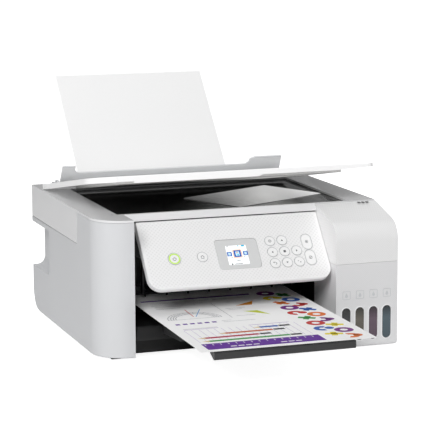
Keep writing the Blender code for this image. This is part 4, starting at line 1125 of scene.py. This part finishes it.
@dataclass
class Output:
    """The tray housing, the sliding trays, the exit roller and the printed test sheet."""

    frame: Frame
    ink_height: float = 0.03
    front_rounding: float = 2.2
    slope: Slope = field(init=False)
    middle: float = field(init=False)
    rear: float = field(init=False)
    surface: float = field(init=False)

    def __post_init__(self) -> None:
        """Read the printed sheet's frame from the way it slides."""
        self.slope = self.frame.slope("print_slide", "-Y")
        low, high = self.slope.extent("printed_sheet")
        self.middle = (low.x + high.x) / 2
        self.rear = high.y
        self.surface = high.z

    def build(self) -> None:
        """Build the trays and the printed sheet."""
        self.frame.soften("tray_base", BAY, "chassis", 0.8, "charcoal_abs",
                          broad=front_top_edge, broad_width=self.front_rounding)
        self.frame.soften("output_tray", CHARCOAL, "first_tray", 0.5, "charcoal_abs")
        self.frame.soften("tray_extension", CHARCOAL, "second_tray", 0.8, "charcoal_abs")
        self.frame.finish_node("exit_roller", RUBBER)
        self.tray_ribs()
        self.printed_sheet()

    def tray_ribs(self) -> None:
        """Add the low ribs that the paper slides over on the second tray."""
        slope = self.frame.slope("first_tray_slide", "-Y")
        low, high = slope.extent("tray_extension")
        board = slope.extent("output_tray")
        level = board[0].z + 7.45
        ribs = [slab((x - 0.7, low.y + 17.0, level), (x + 0.7, low.y + 120.0, level + 0.8), 0.25)
                for x in (low.x + 35.0, low.x + 60.0, low.x + 85.0, low.x + 110.0, low.x + 135.0)]
        self.frame.publish("tray_ribs", join(ribs), CHARCOAL, "second_tray", slope, "charcoal_abs")

    def inked(self, outline: Outline, level: int = 0) -> Shape:
        """Return a printed patch; outline is in x from the sheet's middle and y from its rear edge."""
        low = self.surface + level * self.ink_height
        placed = [(self.middle + x, self.rear - y) for x, y in reversed(outline)]
        return plate(placed, low, low + self.ink_height, "Z")

    def printed_sheet(self) -> None:
        """Build the sheet and its colour test print."""
        low, high = self.slope.extent("printed_sheet")
        sheet = slab((low.x, low.y, high.z - 0.3), high)
        self.frame.publish("printed_page", sheet, PAPER, "print", self.slope, "white_paper",
                           ["printed_sheet"])
        layers = self.page_lines() | self.pencils()
        for ink, outlines in self.blobs().items():
            layers.setdefault(ink, []).extend(outlines)
        for ink, outlines in layers.items():
            patches = [self.inked(outline, level) for outline, level in outlines]
            self.frame.publish("print_" + ink.name.lower(), join(patches), ink.finish(), "print",
                               self.slope)

    def page_lines(self) -> dict[Ink, list[tuple[Outline, int]]]:
        """Return the page's title bars, dial, rules, triangles and the tick-marked bar."""
        ticks = [(stroke((-90.7 + 9.2 * k, 265.0), (-90.7 + 9.2 * k, 271.0), 0.9), 1) for k in range(15)]
        lower = [(stroke((x, 281.0), (x + 7.0, 281.0), 3.0), 1) for x in (-65, -56, -47, -38, -5, 4, 13)]
        hub = (-59.5, 143.0)
        inner, outer = 23.5, 33.0
        dial = [(curve_stroke(hub, radius, 180, 360, 0.9), 0) for radius in (outer, 29.5, 26.5, inner)]
        spokes = []
        for angle in range(186, 360, 12):
            near, far = (arc(hub, reach, angle, angle, 1)[0] for reach in (inner, outer))
            spokes.append((stroke(near, far, 0.6), 0))
        rules = [(stroke((x, 197.0), (x, 257.0), 0.5), 0) for x in range(-92, 44, 9)]
        notes = [(stroke((x, y), (x + length, y), 1.1), 0) for x, y, length in (
            (-88, 54, 78), (-88, 60, 60), (-90, 66, 66), (-90, 84, 31), (-91, 190, 42), (-88, 73, 52),
            (-8, 54, 40), (-34, 163, 12), (-34, 169, 40), (-9, 106, 25), (-9, 145, 24), (-8, 112, 18))]
        letters = [(stroke((-92.0 + 9.0 * k, 166.0), (-86.5 + 9.0 * k, 166.0), 5.5), 0) for k in range(6)]
        return {
            Ink.PURPLE: [(rounded((-94.0, 262.5), (47.0, 289.0), 0.8), 0),
                         (stroke((-95.5, 39.5), (46.0, 39.5), 5.0), 0)] + letters,
            Ink.WHITE: ticks + lower,
            Ink.GREY: dial + spokes + notes + [(stroke((-16.0, 71.0), (-16.5, 152.0), 0.7), 0),
                                               (stroke((-92.5, 143.0), (-26.5, 143.0), 0.9), 0)],
            Ink.LILAC: rules + [(stroke((-91.0, 194.0), (-49.0, 194.0), 1.6), 0),
                                (stroke((-12.0, 194.0), (38.0, 194.0), 1.6), 0)],
            Ink.AMBER: [([(8.0, 95.0), (29.1, 95.4), (37.0, 76.0)], 0)],
            Ink.LIME: [([(7.0, 124.9), (32.7, 150.0), (24.3, 125.8)], 0)],
            Ink.SKY: [(stroke((-39.7, 99.0), (-56.1, 134.4), 0.9), 1)],
            Ink.RED: [(stroke((-57.6, 96.0), (-58.7, 133.5), 0.9), 1)],
        }

    def pencils(self) -> dict[Ink, list[tuple[Outline, int]]]:
        """Return the four drawn pencils, each with a pale tip and a dark end."""
        drawn: dict[Ink, list[tuple[Outline, int]]] = {Ink.SAND: [], Ink.BLACK: []}
        rows = ((Ink.BLUE, -12.2, 34.0, 207.5), (Ink.BROWN, -59.7, 22.0, 222.3),
                (Ink.CRIMSON, -89.1, -0.5, 237.3), (Ink.GREEN, -89.2, 31.5, 252.2))
        for ink, start, end, y in rows:
            drawn.setdefault(ink, []).append((stroke((start + 9.0, y), (end - 14.5, y), 6.4), 0))
            drawn[Ink.SAND].append(([(start, y), (start + 9.0, y - 3.2), (start + 9.0, y + 3.2)], 0))
            drawn[Ink.BLACK].append((stroke((end - 13.6, y), (end, y), 6.4), 0))
        return drawn

    def blobs(self) -> dict[Ink, list[tuple[Outline, int]]]:
        """Return the tumbling rings, crosses and drops down the page's right side."""
        inks = (Ink.PLUM, Ink.GREEN, Ink.YELLOW, Ink.BLUE, Ink.ORANGE, Ink.RED, Ink.PLUM, Ink.BLUE,
                Ink.RED, Ink.ORANGE, Ink.GREEN, Ink.PLUM, Ink.RED, Ink.YELLOW, Ink.BLUE, Ink.PLUM,
                Ink.YELLOW, Ink.ORANGE)
        drawn: dict[Ink, list[tuple[Outline, int]]] = {}
        for index, ink in enumerate(inks):
            x = 75.0 + (9.0 if index % 2 else -9.0)
            y = 44.0 + 13.8 * index
            turn = 57.0 * index
            if index % 3 == 0:
                parts = [curve_stroke((x, y), 8.0, turn, turn + 180, 6.6),
                         curve_stroke((x, y), 8.0, turn + 180, turn + 360, 6.6)]
            elif index % 3 == 1:
                across = 10.5 * math.cos(math.radians(turn))
                down = 10.5 * math.sin(math.radians(turn))
                parts = [stroke((x - across, y - down), (x + across, y + down), 7.2),
                         stroke((x - down * 0.8, y + across * 0.8),
                                (x + down * 0.8, y - across * 0.8), 7.2)]
            else:
                parts = [curve_stroke((x - 3.0, y), 7.0, turn, turn + 230, 6.6),
                         circle((x + 5.5, y), 5.6, 20)]
            drawn.setdefault(ink, []).extend((part, 1 + index % 4) for part in parts)
        return drawn


@dataclass
class PrintEngine:
    """What shows in the bay and under the open scanner: frame, rail, carriage, motors and boards."""

    frame: Frame
    wheel_radius: float = 4.6
    wheel_count: int = 9

    def build(self) -> None:
        """Finish the inner nodes and add the wheels and parts that dress them."""
        plain = {"paper_path_frame": BAY, "carriage_rail": STEEL, "drive_belt": RUBBER,
                 "drive_pulley": STEEL, "platen": BAY, "maintenance_station": BAY}
        for node, finish in plain.items():
            self.frame.finish_node(node, finish)
        for node in ("carriage_motor", "feed_motor"):
            self.frame.soften(node, STEEL, "chassis", 1.0, "zinc_plated_steel")
        self.frame.soften("print_carriage", BAY, "print_head", 1.5, "black_abs")
        self.frame.soften("power_supply", BLACK, "chassis", 0.8, "black_abs")
        self.frame.finish_node("main_board", BOARD)
        self.star_wheels()
        self.cartridge_tops()
        self.chips()

    def star_wheels(self) -> None:
        """Add the row of thin star wheels that holds the print down at the exit."""
        low, high = LEVEL.extent("exit_roller")
        beam = LEVEL.extent("paper_path_frame")
        y = (low.y + high.y) / 2
        z = high.z + self.wheel_radius + 1.2
        start, end = beam[0].x + 34.0, beam[1].x - 82.0
        pitch = (end - start) / (self.wheel_count - 1)
        parts = [rod("X", (y, z), 1.0, start - 8.0, end + 8.0, steps=16)]
        for index in range(self.wheel_count):
            x = start + index * pitch
            teeth: Outline = []
            for tooth in range(18):
                angle = math.radians(20 * tooth)
                for reach, turn in ((self.wheel_radius, 0.0), (self.wheel_radius - 1.1, math.radians(10))):
                    teeth.append((y + reach * math.cos(angle + turn), z + reach * math.sin(angle + turn)))
            parts.append(plate(teeth, x - 0.4, x + 0.4, "X"))
            parts.append(slab((x - 4.5, y - 3.0, z - 1.5), (x - 1.5, y + 3.0, beam[1].z - 20.0), 0.5))
        self.frame.publish("star_wheels", join(parts), BAY, "chassis", slot="black_abs")

    def cartridge_tops(self) -> None:
        """Add the four ink dampers on top of the print carriage."""
        low, high = LEVEL.extent("print_carriage")
        for index, (colour, finish) in enumerate(TANKS.items()):
            x = low.x + 8.0 + 17.0 * index
            top = slab((x, low.y + 18.0, high.z - 0.2), (x + 14.0, high.y - 6.0, high.z + 3.0), 0.8)
            self.frame.publish("damper_" + colour, top, finish, "print_head")

    def chips(self) -> None:
        """Add the chips on the main board."""
        low, _ = LEVEL.extent("main_board")
        level = low.z + 30.3
        parts = []
        for x, y, half in ((124.0, 90.0, 7.0), (146.0, 96.0, 5.0), (132.0, 120.0, 9.0),
                           (152.0, 126.0, 4.0)):
            centre = Vector((x, y + low.y - 70.0, level))
            parts.append(slab(centre - Vector((half, half, 0.2)), centre + Vector((half, half, 1.6)), 0.3))
        self.frame.publish("board_chips", join(parts), BLACK, "chassis")


@dataclass
class Studio:
    """The pale floor, the soft lights and the camera."""

    camera_place: tuple[float, float, float] = (-0.78739, -2.23716, 0.55059)
    yaw: float = math.radians(19.328)
    pitch: float = math.radians(9.496)
    roll: float = math.radians(-0.252)
    lens: float = 159.6
    sensor: float = 36.0
    surround: float = 0.16
    floor_lift: float = 1.0

    def build(self) -> None:
        """Set up everything that isn't the printer."""
        self.floor()
        self.lights()
        self.world()
        self.camera()

    def floor(self) -> None:
        """Lay a wide pale floor that the camera sees as plain white, with no horizon."""
        shape = bmesh.new()
        bmesh.ops.create_grid(shape, x_segments=1, y_segments=1, size=12.0)
        mesh = bpy.data.meshes.new("floor")
        shape.to_mesh(mesh)
        shape.free()
        made = Finish("pale_floor", "#F8F8F8", 0.9).material()
        tree = made.node_tree
        ray = add_node(tree, "LightPath")
        lift = add_node(tree, "MapRange", {"To Min": 0.0, "To Max": self.floor_lift},
                        {"Value": ray.outputs["Is Camera Ray"]})
        tree.links.new(tree.nodes["Principled BSDF"].inputs["Emission Strength"], lift.outputs["Result"])
        mesh.materials.append(made)
        item = bpy.data.objects.new("floor", mesh)
        bpy.context.scene.collection.objects.link(item)

    def lights(self) -> None:
        """Hang a large soft key at the left front, with a weak top light and back light."""
        for name, place, aim, size, power in (
                ("key", (-1.72, -2.46, 2.4), (0.0, 0.0, 0.1), 2.2, 102.0),
                ("top", (0.2, 0.3, 2.8), (0.0, 0.0, 0.1), 2.4, 13.0),
                ("back", (1.2, 2.6, 1.8), (0.0, 0.0, 0.1), 2.0, 8.0)):
            data = bpy.data.lights.new(name, "AREA")
            data.shape = "DISK"
            data.size = size
            data.energy = power
            item = bpy.data.objects.new(name, data)
            item.location = place
            direction = Vector(aim) - Vector(place)
            item.rotation_euler = direction.to_track_quat("-Z", "Y").to_euler()
            bpy.context.scene.collection.objects.link(item)

    def world(self) -> None:
        """Surround the printer with soft white, brighter where the camera sees past it."""
        world = bpy.data.worlds.new("studio")
        world.use_nodes = True
        tree = world.node_tree
        background = tree.nodes["Background"]
        background.inputs["Color"].default_value = linear("#FFFFFF")
        ray = add_node(tree, "LightPath")
        level = add_node(tree, "MapRange", {"To Min": self.surround, "To Max": 1.0},
                         {"Value": ray.outputs["Is Camera Ray"]})
        tree.links.new(background.inputs["Strength"], level.outputs["Result"])
        bpy.context.scene.world = world
        bpy.context.scene.view_settings.view_transform = "Standard"

    def camera(self) -> None:
        """Place the camera by its yaw from +Y, its downward pitch and its roll."""
        forward = Vector((math.sin(self.yaw) * math.cos(self.pitch),
                          math.cos(self.yaw) * math.cos(self.pitch), -math.sin(self.pitch)))
        level = Vector((math.cos(self.yaw), -math.sin(self.yaw), 0.0))
        upward = level.cross(forward)
        right = level * math.cos(self.roll) + upward * math.sin(self.roll)
        up = upward * math.cos(self.roll) - level * math.sin(self.roll)
        data = bpy.data.cameras.new("camera")
        data.lens = self.lens
        data.sensor_width = self.sensor
        data.clip_end = 60.0
        item = bpy.data.objects.new("camera", data)
        turn = Matrix((right, up, -forward)).transposed().to_4x4()
        item.matrix_world = Matrix.Translation(self.camera_place) @ turn
        bpy.context.scene.collection.objects.link(item)
        bpy.context.scene.camera = item


def main() -> None:
    """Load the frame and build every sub-assembly."""
    for item in list(bpy.data.objects):
        bpy.data.objects.remove(item)
    frame = Frame(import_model())
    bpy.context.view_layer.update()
    Studio().build()
    for assembly in (Casing(frame), Scanner(frame), Lid(frame), Panel(frame), TankBlock(frame),
                     Feeder(frame), Output(frame), PrintEngine(frame)):
        LOG.info("building %s", type(assembly).__name__)
        assembly.build()


if __name__ == "__main__":
    logging.basicConfig(level=logging.INFO)
    main()
